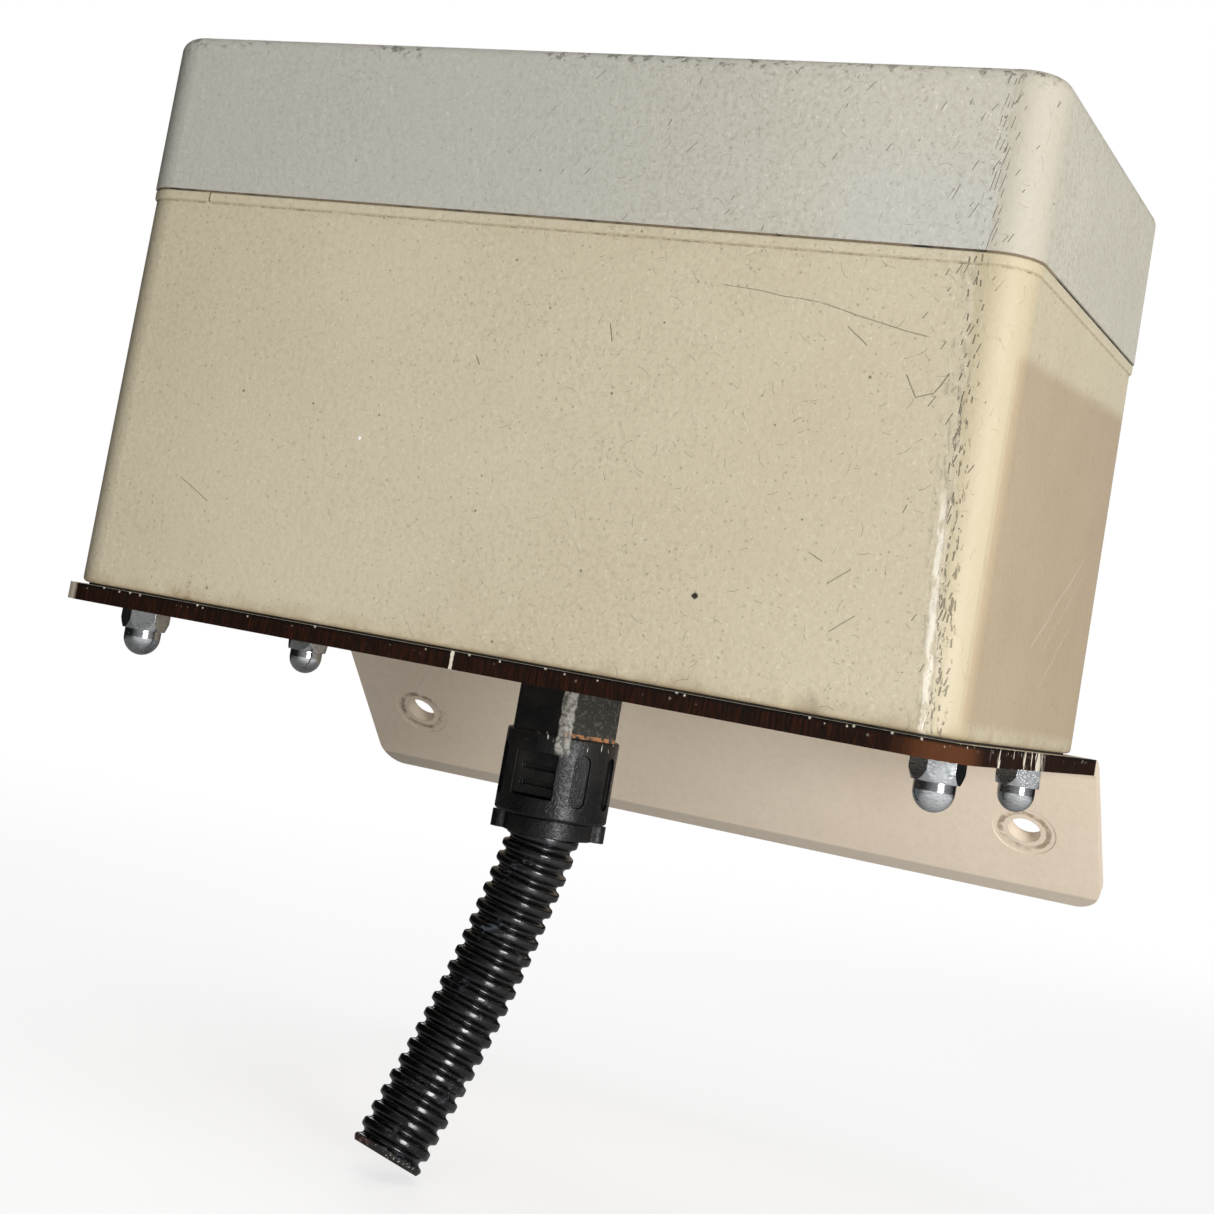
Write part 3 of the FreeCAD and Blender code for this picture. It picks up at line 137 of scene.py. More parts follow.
class Finish:
    """A procedural material. Its methods add nodes and return the output that carries the result."""

    def __init__(self, name, **shader):
        self.material = bpy.data.materials.new(name)
        self.material.use_nodes = True
        tree = self.material.node_tree
        self.nodes, self.links = tree.nodes, tree.links
        self.shader = self.nodes["Principled BSDF"]
        for socket, value in shader.items():
            self.shader.inputs[socket.replace("_", " ")].default_value = value
        self.place = self.node("ShaderNodeTexCoord").outputs["Object"]
        self.x, self.y, self.z = self.split(self.place)

    def node(self, kind, inputs=None, **settings):
        """Add a node, with its settings and its inputs by name or number."""
        made = self.nodes.new(kind)
        for setting, value in settings.items():
            setattr(made, setting, value)
        for socket, value in (inputs or {}).items():
            self.put(made.inputs[socket], value)
        return made

    def put(self, socket, value):
        """Link an output to a socket, or set the socket's value."""
        if isinstance(value, bpy.types.NodeSocket):
            self.links.new(value, socket)
        else:
            socket.default_value = value

    def set(self, socket, value):
        """Set one of the shader's inputs."""
        self.put(self.shader.inputs[socket], value)

    def split(self, vector):
        return self.node("ShaderNodeSeparateXYZ", {0: vector}).outputs

    def join(self, x=0.0, y=0.0, z=0.0):
        return self.node("ShaderNodeCombineXYZ", {0: x, 1: y, 2: z}).outputs[0]

    def math(self, operation, a, b=0.0, clamp=False):
        return self.node("ShaderNodeMath", {0: a, 1: b}, operation=operation, use_clamp=clamp).outputs[0]

    def times(self, a, b):
        return self.math("MULTIPLY", a, b)

    def plus(self, a, b, clamp=False):
        return self.math("ADD", a, b, clamp)

    def minus(self, a, b):
        return self.math("SUBTRACT", a, b)

    def hypot(self, a, b):
        return self.math("SQRT", self.plus(self.times(a, a), self.times(b, b)))

    def vector(self, operation, a, b):
        return self.node("ShaderNodeVectorMath", {0: a, 1: b}, operation=operation).outputs[0]

    def scaled(self, vector, factors):
        return self.vector("MULTIPLY", vector, factors)

    def step(self, value, start, end):
        """Return 0 before start and 1 after end, smoothly. Start may be above end."""
        return self.node("ShaderNodeMapRange", {0: value, 1: start, 2: end},
                         interpolation_type="SMOOTHSTEP").outputs[0]

    def band(self, value, low, high, soft):
        """Return 1 between low and high, fading over soft outside them."""
        return self.times(self.step(value, low - soft, low), self.step(value, high + soft, high))

    def both(self, *masks):
        product = masks[0]
        for mask in masks[1:]:
            product = self.times(product, mask)
        return product

    def either(self, *masks):
        largest = masks[0]
        for mask in masks[1:]:
            largest = self.math("MAXIMUM", largest, mask)
        return largest

    def noise(self, scale, vector=None, detail=3.0, roughness=0.55):
        return self.node("ShaderNodeTexNoise",
                         {"Vector": self.place if vector is None else vector, "Scale": scale,
                          "Detail": detail, "Roughness": roughness}).outputs[0]

    def cells(self, scale, vector, flat=False):
        """Return a Voronoi node's distance, colour and cell position outputs."""
        made = self.node("ShaderNodeTexVoronoi", {"Vector": vector, "Scale": scale})
        made.voronoi_dimensions = "2D" if flat else "3D"
        return made.outputs["Distance"], made.outputs["Color"], made.outputs["Position"]

    def skin(self):
        """Return flat coordinates that wrap round the upright faces and over the level ones."""
        return self.join(self.plus(self.x, self.y), self.plus(self.z, self.y))

    def marks(self, scale, share, length, width, offset=0.0):
        """Return a mask of short, slightly bent scratches in every direction, one to a cell."""
        spot = self.vector("ADD", self.scaled(self.skin(), (scale,) * 3), (offset, offset * 0.7, 0))
        _, colour, centre = self.cells(1.0, spot, flat=True)
        red, green, blue = self.split(colour)
        local = self.vector("SUBTRACT", spot, centre)
        turned = self.node("ShaderNodeVectorRotate", {"Vector": local, "Angle": self.times(red, 6.28)},
                           rotation_type="Z_AXIS").outputs[0]
        along, across, _ = self.split(turned)
        bend = self.times(self.times(along, along), 0.8)
        off_line = self.math("ABSOLUTE", self.minus(across, bend))
        reach = self.times(green, length)
        return self.both(self.step(off_line, width, width * 0.3),
                         self.math("LESS_THAN", self.math("ABSOLUTE", along), reach),
                         self.math("LESS_THAN", blue, share))

    def slashes(self, across, up, share, width, lean, offset=0.0):
        """Return a mask of thin, nearly upright scratches, leaning by lean, one to a tall cell."""
        sheared = self.plus(self.x, self.times(self.z, lean))
        spot = self.join(self.plus(self.times(sheared, across), offset),
                         self.times(self.z, up))
        _, colour, centre = self.cells(1.0, spot, flat=True)
        red, green, blue = self.split(colour)
        dx, dz, _ = self.split(self.vector("SUBTRACT", spot, centre))
        tilt = self.times(self.minus(red, 0.5), 0.9)
        off_line = self.math("ABSOLUTE", self.minus(dx, self.times(tilt, dz)))
        return self.both(self.step(off_line, width, width * 0.4),
                         self.math("LESS_THAN", self.math("ABSOLUTE", dz), self.times(green, 0.48)),
                         self.math("LESS_THAN", blue, share))

    def specks(self, scale, share, size):
        """Return a mask of small round spots, one to a cell."""
        distance, colour, _ = self.cells(scale, self.skin(), flat=True)
        red, green, _ = self.split(colour)
        return self.both(self.step(distance, self.times(green, size), 0.0),
                         self.math("LESS_THAN", red, share))

    def stroke(self, start, end, width, across=None):
        """Return a mask of one thin scratch between two (across, z) places on a face."""
        (x0, z0), (x1, z1) = start, end
        middle, half = ((x0 + x1) / 2, (z0 + z1) / 2), math.hypot(x1 - x0, z1 - z0) / 2
        turn = math.atan2(z1 - z0, x1 - x0)
        dx = self.minus(self.x if across is None else across, middle[0])
        dz = self.minus(self.z, middle[1])
        along = self.plus(self.times(dx, math.cos(turn)),
                          self.times(dz, math.sin(turn)))
        off = self.minus(self.times(dz, math.cos(turn)),
                         self.times(dx, math.sin(turn)))
        wander = self.times(self.minus(self.noise(60.0), 0.5), 0.002)
        off = self.math("ABSOLUTE", self.plus(off, wander))
        return self.both(self.step(off, width, width * 0.3),
                         self.step(self.math("ABSOLUTE", along), half, half * 0.9))

    def blot(self, across, height, radius, soft=0.5, ragged=0.4):
        """Return a mask of one ragged spot at an (across, z) place on the front."""
        dx = self.minus(self.x, across)
        dz = self.minus(self.z, height)
        far = self.hypot(dx, dz)
        uneven = self.times(self.minus(self.noise(1.2 / radius), 0.5), ragged * 2 * radius)
        return self.step(self.plus(far, uneven), radius, radius * soft)

    def mix(self, amount, a, b, blend="MIX"):
        made = self.node("ShaderNodeMix", data_type="RGBA", blend_type=blend)
        self.put(made.inputs[0], amount)
        self.put(made.inputs[6], a)
        self.put(made.inputs[7], b)
        return made.outputs[2]

    def over(self, colour, mask, share, hex_colour):
        """Return the colour with another laid over it where the mask is, to a share of its strength."""
        return self.mix(self.times(mask, share), colour, linear(hex_colour))

    def blendf(self, amount, a, b):
        """Mix two numbers."""
        made = self.node("ShaderNodeMix", data_type="FLOAT")
        self.put(made.inputs[0], amount)
        self.put(made.inputs[2], a)
        self.put(made.inputs[3], b)
        return made.outputs[0]

    def normal(self):
        """Return the x, y and z of the face's own direction."""
        return self.split(self.node("ShaderNodeNewGeometry").outputs["True Normal"])

    def bump(self, *layers, edge=0.0):
        """Raise the surface by (height, distance in metres) layers, over edges rounded by edge."""
        under = self.node("ShaderNodeBevel", {"Radius": edge}, samples=4).outputs[0] if edge else None
        for height, distance in layers:
            made = self.node("ShaderNodeBump", {"Height": height, "Distance": distance})
            if under is not None:
                self.put(made.inputs["Normal"], under)
            under = made.outputs[0]
        self.set("Normal", under)


# ---- painted steel ----------------------------------------------------------------------------
def enamel(name, base, shade, grit, extra):
    """Beige stove enamel: orange peel, grit, fine strokes, specks and what extra adds."""
    paint = Finish(name, Roughness=0.56, Coat_Weight=0.03, Coat_Roughness=0.3, IOR=1.45)
    cloud = paint.noise(9.0, detail=4.0)
    colour = paint.mix(paint.step(cloud, 0.3, 0.7), linear(base), linear(shade))
    patchy = paint.plus(0.55, paint.times(paint.step(paint.noise(16.0), 0.35, 0.65), 0.6))
    mottle = paint.both(paint.step(paint.noise(650.0, detail=3.0, roughness=0.7), 0.46, 0.66), patchy, grit)
    colour = paint.mix(mottle, colour, linear("8f8369"))
    light = paint.both(paint.step(paint.noise(900.0, detail=2.0), 0.6, 0.72), grit)
    colour = paint.mix(light, colour, linear("efe8d6"))
    busy = paint.plus(paint.step(paint.x, -0.12, 0.13), 0.25, clamp=True)
    thin = paint.both(paint.either(paint.marks(150.0, 0.34, 0.34, 0.011),
                                   paint.marks(240.0, 0.3, 0.3, 0.014, offset=9.1)), busy)
    pale = paint.marks(110.0, 0.3, 0.36, 0.013, offset=3.7)
    fine = paint.specks(420.0, 0.3, 0.28)
    pits = paint.specks(85.0, 0.16, 0.06)
    colour = paint.over(colour, pale, 0.3, "e8e0cc")
    colour = paint.over(colour, fine, 0.5, "766a56")
    colour = paint.over(colour, thin, 0.75, "5f5546")
    colour = paint.over(colour, pits, 0.85, "3f362c")
    colour, gloss, layers = extra(paint, colour)
    paint.set("Base Color", colour)
    rough = paint.blendf(paint.step(paint.noise(30.0, detail=5.0), 0.3, 0.7), 0.52, 0.66)
    paint.set("Roughness", paint.blendf(gloss, rough, 0.22))
    paint.bump((paint.noise(520.0, detail=2.0), 0.00014), (paint.noise(1500.0, detail=1.0), 0.00004),
               (paint.either(thin, pits), -0.00006), *layers)
    return paint.material


def vertical_flakes(paint, from_line, low, high, fine=(900.0, 220.0)):
    """Return a mask of upright ragged flakes, where the stretched noise lies between low and high."""
    stretched = paint.join(paint.times(from_line, fine[0]), 0.0, paint.times(paint.z, fine[1]))
    return paint.step(paint.noise(1.0, stretched, detail=4.0, roughness=0.7), low, high)


def at_height(paint, low, high, soft):
    """Return a mask between two heights above the case's base."""
    return paint.band(paint.z, BASE + low, BASE + high, soft)


def lid_wear_and_painted_shade(paint, colour):
    """The lid is greyer to the left, slashed beside its right corner and rubbed along its top; painted
    shade darkens its rounded right corner.
    """
    grey = paint.step(paint.x, 0.11, -0.02)
    colour = paint.mix(paint.plus(paint.times(grey, 0.35), 0.12), colour, linear("a9aba6"))
    front = paint.step(paint.y, LID_LOW.y + 0.014, LID_LOW.y + 0.008)
    cool = paint.both(front, paint.band(paint.x, 0.095, 0.12, 0.02),
                      paint.step(paint.z, LID_LOW.z + 0.035, LID_LOW.z + 0.008), 0.3)
    colour = paint.mix(cool, colour, linear("b9bdc0"))
    # Darker paint over the lid's rounded right corner: painted shade that holds down the key's highlight
    # there.
    lid_corner_shade = paint.both(front, paint.step(paint.plus(paint.x, paint.times(paint.noise(220.0), 0.004)),
                                                0.1282, 0.1292))
    colour = paint.over(colour, lid_corner_shade, 0.8, "b3ac9c")
    # Each is across and up per metre, share of cells, width, lean and offset, as in slashes.
    dense, loose, stray = ((950.0, 170.0, 0.9, 0.14, -0.24), (600.0, 230.0, 0.16, 0.1, -0.45, 3.3),
                           (330.0, 260.0, 0.06, 0.06, -0.6, 7.7))
    slashes = paint.both(front, paint.either(
        paint.both(paint.slashes(*dense), paint.band(paint.x, 0.1245, 0.1278, 0.0008)),
        paint.both(paint.slashes(*loose), paint.band(paint.x, 0.116, 0.133, 0.004)),
        paint.both(paint.slashes(*stray), paint.band(paint.x, 0.02, 0.13, 0.05))))
    colour = paint.over(colour, slashes, 0.68, "4f473c")
    top = paint.step(paint.z, LID_HIGH.z - 0.007, LID_HIGH.z - 0.001)
    chips = paint.both(top, paint.step(paint.noise(420.0, detail=3.0), 0.54, 0.64),
                       paint.step(paint.noise(38.0), 0.4, 0.58))
    colour = paint.over(colour, chips, 0.7, "4a4238")
    return colour, 0.0, [(paint.either(slashes, chips), -0.00008)]


def scratch_marks(paint, scratches, across=None):
    """Return a mask of single scratches, each (start, end, half width), from the base's middle."""
    return paint.either(*[paint.stroke((x0, BASE + z0), (x1, BASE + z1), width, across)
                          for (x0, z0), (x1, z1), width in scratches])


def body_wear_and_painted_light(paint, colour):
    """The body's marks: corner strip, scratches, hooks, a dent, a rust stain and two specks, with painted
    shade on the corner strip and on the right side's lower part, and a painted highlight streak.
    """
    face_x, _, _ = paint.normal()
    front = paint.step(paint.y, FRONT + 0.003, FRONT + 0.001)
    near_front = paint.step(paint.y, FRONT + 0.014, FRONT + 0.008)
    # Warmer, darker paint on the corner strip is painted shade that holds down the key's highlight on the
    # rounded corner; with nicks, a rubbed grey border and a glossy streak along its left, whose near-white
    # colour is a painted highlight.
    line = paint.plus(paint.minus(paint.x, CORNER_LINE),
                      paint.times(paint.minus(paint.z, BASE), CORNER_LEAN))
    uneven = paint.times(paint.minus(paint.noise(160.0, detail=4.0), 0.5), 0.005)
    corner_shade = paint.both(near_front, paint.step(paint.plus(line, uneven), -0.0006, 0.0006))
    colour = paint.over(colour, corner_shade, 0.8, "b9ac8e")
    border = paint.both(near_front, paint.band(line, -0.0045, -0.0012, 0.002),
                        vertical_flakes(paint, line, 0.5, 0.6, (420.0, 130.0)))
    colour = paint.over(colour, border, 0.42, "857c6e")
    nicks = paint.both(near_front, paint.either(
        paint.both(paint.band(line, -0.0014, 0.0016, 0.0012), at_height(paint, 0.006, 0.078, 0.02),
                   vertical_flakes(paint, line, 0.56, 0.6)),
        paint.both(paint.slashes(760.0, 330.0, 0.5, 0.2, -0.1, 5.1),
                   paint.band(line, -0.002, 0.0022, 0.001)),
        paint.both(paint.slashes(420.0, 260.0, 0.12, 0.08, -0.4, 2.2),
                   paint.band(line, -0.012, 0.004, 0.004))))
    colour = paint.over(colour, nicks, 0.7, "51463a")
    highlight_line = paint.plus(line, paint.times(uneven, 0.5))
    # The streak's near-white colour is a painted highlight; it is also glossier, through the roughness.
    streak = paint.both(near_front, paint.band(highlight_line, -0.0031, -0.0022, 0.0007),
                        at_height(paint, 0.0, 0.052, 0.012),
                        vertical_flakes(paint, line, 0.4, 0.5, (300.0, 90.0)))
    colour = paint.over(colour, streak, 0.55, "fbf5e8")
    # Single marks on the front.
    scratches = scratch_marks(paint, FRONT_SCRATCHES)
    stain = paint.both(paint.blot(-0.095, BASE + 0.001, 0.008, soft=0.1),
                       paint.step(paint.noise(300.0), 0.45, 0.7))
    colour = paint.over(colour, paint.both(front, scratches), 0.5, "5d4f3e")
    seam = paint.both(paint.band(paint.z, LID_LOW.z - 0.0038, LID_LOW.z - 0.0035, 0.00015),
                      paint.step(paint.noise(420.0, detail=5.0, roughness=0.8), 0.36, 0.66))
    colour = paint.over(colour, seam, 0.7, "65543f")
    colour = paint.over(colour, paint.both(front, stain), 0.55, "8a6a44")
    for across, height, radius, shade in ((0.0637, 0.0247, 0.0011, "2c241d"),
                                          (-0.0456, 0.0539, 0.0007, "f6f4ee")):
        spot = paint.both(front, paint.blot(across, BASE + height, radius))
        colour = paint.mix(spot, colour, linear(shade))
    grime = paint.both(paint.step(paint.z, BASE + 0.007, BASE), paint.step(paint.noise(120.0), 0.35, 0.7))
    colour = paint.over(colour, grime, 0.35, "8d7a5c")
    # The right side: painted shade, darker and duller, over its lower part below a slanted line, with long
    # faint scratches.
    side = paint.step(face_x, 0.8, 0.97)
    depth = paint.minus(paint.y, CASE_MIDDLE)
    slanted = paint.plus(paint.z, paint.times(depth, SIDE_SHADE_SLANT))
    # film is painted shade over the lower side, not a coating on the paint.
    film = paint.both(side, paint.step(slanted, BASE + SIDE_SHADE_TOP + 0.0025, BASE + SIDE_SHADE_TOP - 0.0025),
                      paint.step(paint.z, BASE + 0.002, BASE + 0.006))
    colour = paint.over(colour, film, 0.62, "a68f75")
    slants = scratch_marks(paint, SIDE_SCRATCHES, across=depth)
    colour = paint.over(colour, paint.both(side, slants), 0.45, "e2d8c4")
    dent = paint.both(front, paint.blot(0.0965, BASE + 0.002, 0.006, soft=0.2, ragged=0.2))
    return colour, streak, [(dent, -0.0006), (paint.either(nicks, scratches), -0.00012)]


def bracket_finish():
    """Beige enamel over thick plate whose cut front and right edges are bare and dark brown."""
    paint = Finish("bracket_enamel", Roughness=0.5, Specular_IOR_Level=0.15, IOR=1.45)
    _, _, face_z = paint.normal()
    level = paint.band(paint.z, PLATE_TOP - PLATE_THICK - 0.0002, PLATE_TOP + 0.0002, 0.0001)
    upright = paint.step(paint.math("ABSOLUTE", face_z), 0.5, 0.4)
    forward_of_bend = paint.step(paint.y, BEND_START + 0.0005, BEND_START - 0.0005)
    bare_front = paint.step(paint.x, PLATE_LOW.x + 0.0075, PLATE_LOW.x + 0.0095)
    bare = paint.both(level, upright, forward_of_bend, bare_front)
    grain = paint.scaled(paint.join(paint.plus(paint.x, paint.y), 0.0, paint.z), (1500.0, 1.0, 120.0))
    streak = paint.noise(1.0, grain, detail=5.0, roughness=0.7)
    run = paint.scaled(paint.join(paint.plus(paint.x, paint.y), 0.0, paint.z), (300.0, 1.0, 80.0))
    patch = paint.noise(1.0, run, detail=3.0)
    to_right_side = paint.step(paint.y, FRONT + 0.018, FRONT + 0.11)
    cream = paint.step(paint.plus(patch, paint.times(to_right_side, 0.16)), 0.62, 0.68)
    cream = paint.either(paint.both(cream, paint.band(paint.y, FRONT + 0.034, FRONT + 0.08, 0.012)),
                         paint.both(paint.step(streak, 0.735, 0.77),
                                    paint.step(paint.noise(60.0), 0.5, 0.6)))
    steel = paint.mix(paint.step(streak, 0.4, 0.75), linear("120600"), linear("381808"))
    # A lighter coppery patch on the bare edge at the front-right corner: a painted highlight.
    corner_copper_highlight = paint.both(paint.step(paint.x, 0.121, 0.131),
                              paint.step(paint.y, FRONT + 0.02, FRONT + 0.004), 0.35)
    steel = paint.mix(corner_copper_highlight, steel, linear("7c4a2a"))
    steel = paint.mix(paint.step(paint.z, PLATE_TOP - 0.0012, PLATE_TOP - 0.0002), steel, linear("060403"))
    specks = paint.both(paint.specks(520.0, 0.3, 0.34),
                        paint.step(paint.z, PLATE_TOP - 0.0026, PLATE_TOP - 0.0006))
    mark = paint.band(paint.plus(paint.x, paint.times(paint.noise(900.0), 0.0006)),
                      -0.0022, -0.0014, 0.0002)
    cloud = paint.step(paint.noise(11.0, detail=4.0), 0.3, 0.7)
    # Paler beige than the case's enamel, chosen so the flange comes out brighter: painted light.
    colour = paint.mix(cloud, linear("eadbc7"), linear("e2d2bd"))
    mottle = paint.step(paint.noise(300.0), 0.35, 0.75)
    colour = paint.over(colour, mottle, 0.08, "a3957a")
    thin = paint.marks(130.0, 0.2, 0.3, 0.011, offset=1.3)
    fine = paint.specks(380.0, 0.14, 0.24)
    colour = paint.over(colour, thin, 0.5, "776a59")
    colour = paint.over(colour, fine, 0.4, "776a59")
    colour = paint.mix(washer_print(paint), colour, linear("8f7a62"))
    # A greyer band along the flange's lower end: painted shade of its rounded edge.
    lower_edge_shade = paint.both(paint.step(paint.z, PLATE_LOW.z + 0.0042, PLATE_LOW.z + 0.0032), 0.5)
    colour = paint.mix(lower_edge_shade, colour, linear("9c968c"))
    colour = paint.mix(bare, colour, paint.mix(paint.either(cream, mark, specks), steel, linear("dcd2c0")))
    paint.set("Base Color", colour)
    paint.set("Roughness", paint.blendf(bare, 0.46, paint.blendf(streak, 0.6, 0.85)))
    paint.bump((paint.noise(520.0, detail=2.0), 0.0001), (paint.both(bare, streak), 0.0004))
    return paint.material


def washer_print(paint):
    """Return a mask of the ragged rings that washers left round the two fixing holes."""
    hole = abs(frame["record"]["mounts"][0]["dims"]["pcd_mm"]) / 2000
    down = paint.times(paint.minus(paint.y, paint.z), math.sqrt(0.5))
    dx = paint.minus(paint.math("ABSOLUTE", paint.x), hole)
    far = paint.hypot(dx, down)
    far = paint.plus(far, paint.times(paint.minus(paint.noise(500.0), 0.5), 0.0014))
    ring = paint.band(far, 0.0076, 0.0088, 0.0006)
    return paint.both(ring, paint.step(paint.noise(240.0, detail=3.0), 0.36, 0.62), 0.8)


# ---- metals -----------------------------------------------------------------------------------
def metal(name, light, dark, rough, grain, tarnish=None):
    """Bare or plated metal with a directional grain, faint clouds and scratches."""
    made = Finish(name, Metallic=1.0)
    lines = made.noise(1.0, made.scaled(made.place, grain), detail=3.0, roughness=0.6)
    cloud = made.noise(55.0, detail=4.0)
    colour = made.mix(made.step(made.plus(made.times(lines, 0.5),
                                          made.times(cloud, 0.5)), 0.35, 0.65),
                      linear(light), linear(dark))
    if tarnish:
        colour = made.mix(made.times(made.step(made.noise(140.0, detail=5.0), 0.55, 0.75), 0.5),
                          colour, linear(tarnish))
    hair = made.marks(300.0, 0.35, 0.34, 0.014, offset=2.1)
    made.set("Base Color", colour)
    made.set("Roughness", made.plus(made.blendf(made.step(cloud, 0.3, 0.7), rough * 0.75, rough * 1.3),
                                    made.times(hair, SCRATCH_ROUGHNESS)))
    made.bump((lines, 0.00003), (hair, -0.00002), edge=EDGE_ROUNDING)
    return made.material


def laminated():
    """A stack of dark varnished laminations."""
    made = Finish("laminations", Metallic=0.7)
    across = made.plus(made.x, made.times(made.noise(30.0), 0.0004))
    leaf = made.math("ABSOLUTE", made.math("SINE", made.times(across, math.pi / 0.0006)))
    colour = made.mix(leaf, linear("17171a"), linear("4c4c50"))
    made.set("Base Color", made.mix(made.step(made.noise(160.0), 0.5, 0.75), colour, linear("5d4434")))
    made.set("Roughness", made.blendf(leaf, 0.7, 0.42))
    made.bump((leaf, 0.00012))
    return made.material


def winding():
    """Turns of lacquered copper wire."""
    made = Finish("copper_winding", Metallic=0.85, Coat_Weight=0.4, Coat_Roughness=0.15)
    turn = made.plus(made.y, made.plus(made.z, made.x))
    wire = made.math("ABSOLUTE", made.math("SINE", made.times(turn, math.pi / 0.0007)))
    colour = made.mix(wire, linear("3a1a0c"), linear("b8672f"))
    made.set("Base Color", made.mix(made.step(made.noise(90.0), 0.4, 0.7), colour, linear("8e4420")))
    made.set("Roughness", made.blendf(wire, 0.6, 0.28))
    made.bump((wire, 0.0002))
    return made.material


# ---- plastics and rubber ----------------------------------------------------------------------
def plastic(name, colour, dusty, rough, grain=900.0):
    """Moulded plastic: a fine spark-eroded grain, clouds of dust and small rubs."""
    made = Finish(name, Roughness=rough)
    skin = made.noise(grain, detail=2.0)
    cloud = made.step(made.noise(70.0, detail=5.0, roughness=0.65), 0.45, 0.75)
    rub = made.marks(260.0, 0.3, 0.33, 0.02, offset=5.3)
    shown = made.over(linear(colour), cloud, DUST, dusty)
    shown = made.over(shown, made.specks(900.0, 0.2, 0.3), DUST, dusty)
    made.set("Base Color", made.mix(made.times(rub, 0.35), shown, linear(dusty)))
    made.set("Roughness", made.plus(made.blendf(skin, rough * 0.8, rough * 1.2),
                                    made.times(cloud, 0.12)))
    made.bump((skin, 0.00005), (rub, -0.00003), edge=EDGE_ROUNDING)
    return made.material


def dusty_rubber():
    """Black rubber, dusted brown where it shows under the lid's front."""
    made = Finish("black_rubber", Roughness=0.75)
    dust = made.both(made.step(made.noise(180.0, detail=4.0, roughness=0.7), 0.3, 0.6), 0.3)
    under_lid = made.both(made.step(made.z, BASE + 0.1, BASE + 0.11),
                          made.step(made.y, FRONT + 0.03, FRONT + 0.02),
                          made.step(made.noise(90.0, detail=3.0), 0.3, 0.5))
    colour = made.mix(dust, linear("0c0c0d"), linear("5a564f"))
    made.set("Base Color", made.mix(made.times(under_lid, 0.85), colour, linear("84725a")))
    made.bump((made.noise(650.0, detail=2.0), 0.00005))
    return made.material


def fitting_nylon():
    """Black glass-filled nylon: dust only on the facets facing the key, partly painted light; a pale corner
    that is a painted highlight with dust; scuffs on the shoulder.
    """
    made = Finish("fitting_nylon", Roughness=0.38, Specular_IOR_Level=0.28)
    skin = made.noise(1400.0, detail=2.0)
    face_x, _, _ = made.normal()
    hexagon_low = BASE - 0.0206
    shoulder = made.band(made.z, hexagon_low - 0.0035, hexagon_low + 0.0002, 0.0006)
    to_right = made.step(face_x, 0.35, 0.8)
    # Pale dust only on the facets that face the key: real dust, and painted light on that side.
    dust = made.both(made.step(made.z, hexagon_low - 0.001, hexagon_low + 0.001), to_right)
    grains = made.step(made.noise(700.0, detail=3.0, roughness=0.7), 0.48, 0.66)
    colour = made.mix(made.both(dust, made.plus(made.times(grains, 0.22), 0.06)),
                      linear("060607"), linear("8d8878"))
    # The pale patch on the hexagon's front-right corner is a painted highlight on its rounded edge, with
    # some dust.
    turn = math.radians(FITTING_CORNER_TURN)
    to_corner = [made.minus(made.x, CONDUIT_ORIGIN.x + FITTING_CORNER_REACH * math.cos(turn)),
                 made.minus(made.y, CONDUIT_ORIGIN.y + FITTING_CORNER_REACH * math.sin(turn))]
    far = made.hypot(*to_corner)
    ragged = made.times(made.minus(made.noise(420.0, detail=4.0), 0.5), 0.0016)
    corner_highlight_and_dust = made.both(made.step(made.z, hexagon_low - 0.0065, hexagon_low - 0.0035),
                     made.step(made.plus(far, ragged), 0.0024, 0.0019),
                     made.plus(0.35, made.step(made.noise(700.0, detail=3.0), 0.4, 0.62), clamp=True))
    colour = made.over(colour, corner_highlight_and_dust, 0.6, "b9b6ae")
    copper = made.both(made.band(made.z, hexagon_low + 0.0001, hexagon_low + 0.0011, 0.0002), to_right,
                       made.step(made.noise(420.0), 0.42, 0.56))
    colour = made.over(colour, copper, 0.8, "b07a4e")
    nick = made.scaled(made.join(made.plus(made.x, made.y), 0.0, made.z), (900.0, 1.0, 180.0))
    nicks = made.both(shoulder, made.step(made.noise(1.0, nick, detail=2.0), 0.66, 0.7))
    colour = made.mix(nicks, colour, linear("cfccc4"))
    film = made.step(made.noise(60.0, detail=5.0), 0.42, 0.75)
    colour = made.over(colour, film, 0.03, "8d8878")
    made.set("Base Color", colour)
    made.set("Roughness", made.plus(made.blendf(film, 0.3, 0.46), made.times(dust, 0.2)))
    made.bump((skin, 0.00006), (made.either(nicks, grains), 0.00004), edge=0.0004)
    return made.material


def conduit_plastic():
    """Glossy black polyamide with bluish dust between and on some of the ribs."""
    made = Finish("conduit_polyamide", Roughness=0.24, Coat_Weight=0.2, Coat_Roughness=0.12,
                  Specular_IOR_Level=0.34)
    patches = made.step(made.noise(75.0, detail=4.0, roughness=0.7), 0.53, 0.66)
    around = made.scaled(made.place, (500.0, 500.0, 1400.0))
    streaks = made.step(made.noise(1.0, around, detail=3.0), 0.45, 0.65)
    dust = made.both(patches, streaks)
    grit = made.step(made.noise(1500.0, detail=2.0), 0.66, 0.74)
    colour = made.mix(made.times(dust, 0.32), linear("040405"), linear("7d8794"))
    colour = made.over(colour, grit, 0.2, "8a8781")
    made.set("Base Color", colour)
    made.set("Roughness", made.plus(made.blendf(made.step(made.noise(220.0), 0.35, 0.7), 0.16, 0.34),
                                    made.times(dust, 0.25)))
    made.bump((made.noise(900.0, detail=3.0), 0.00008))
    return made.material


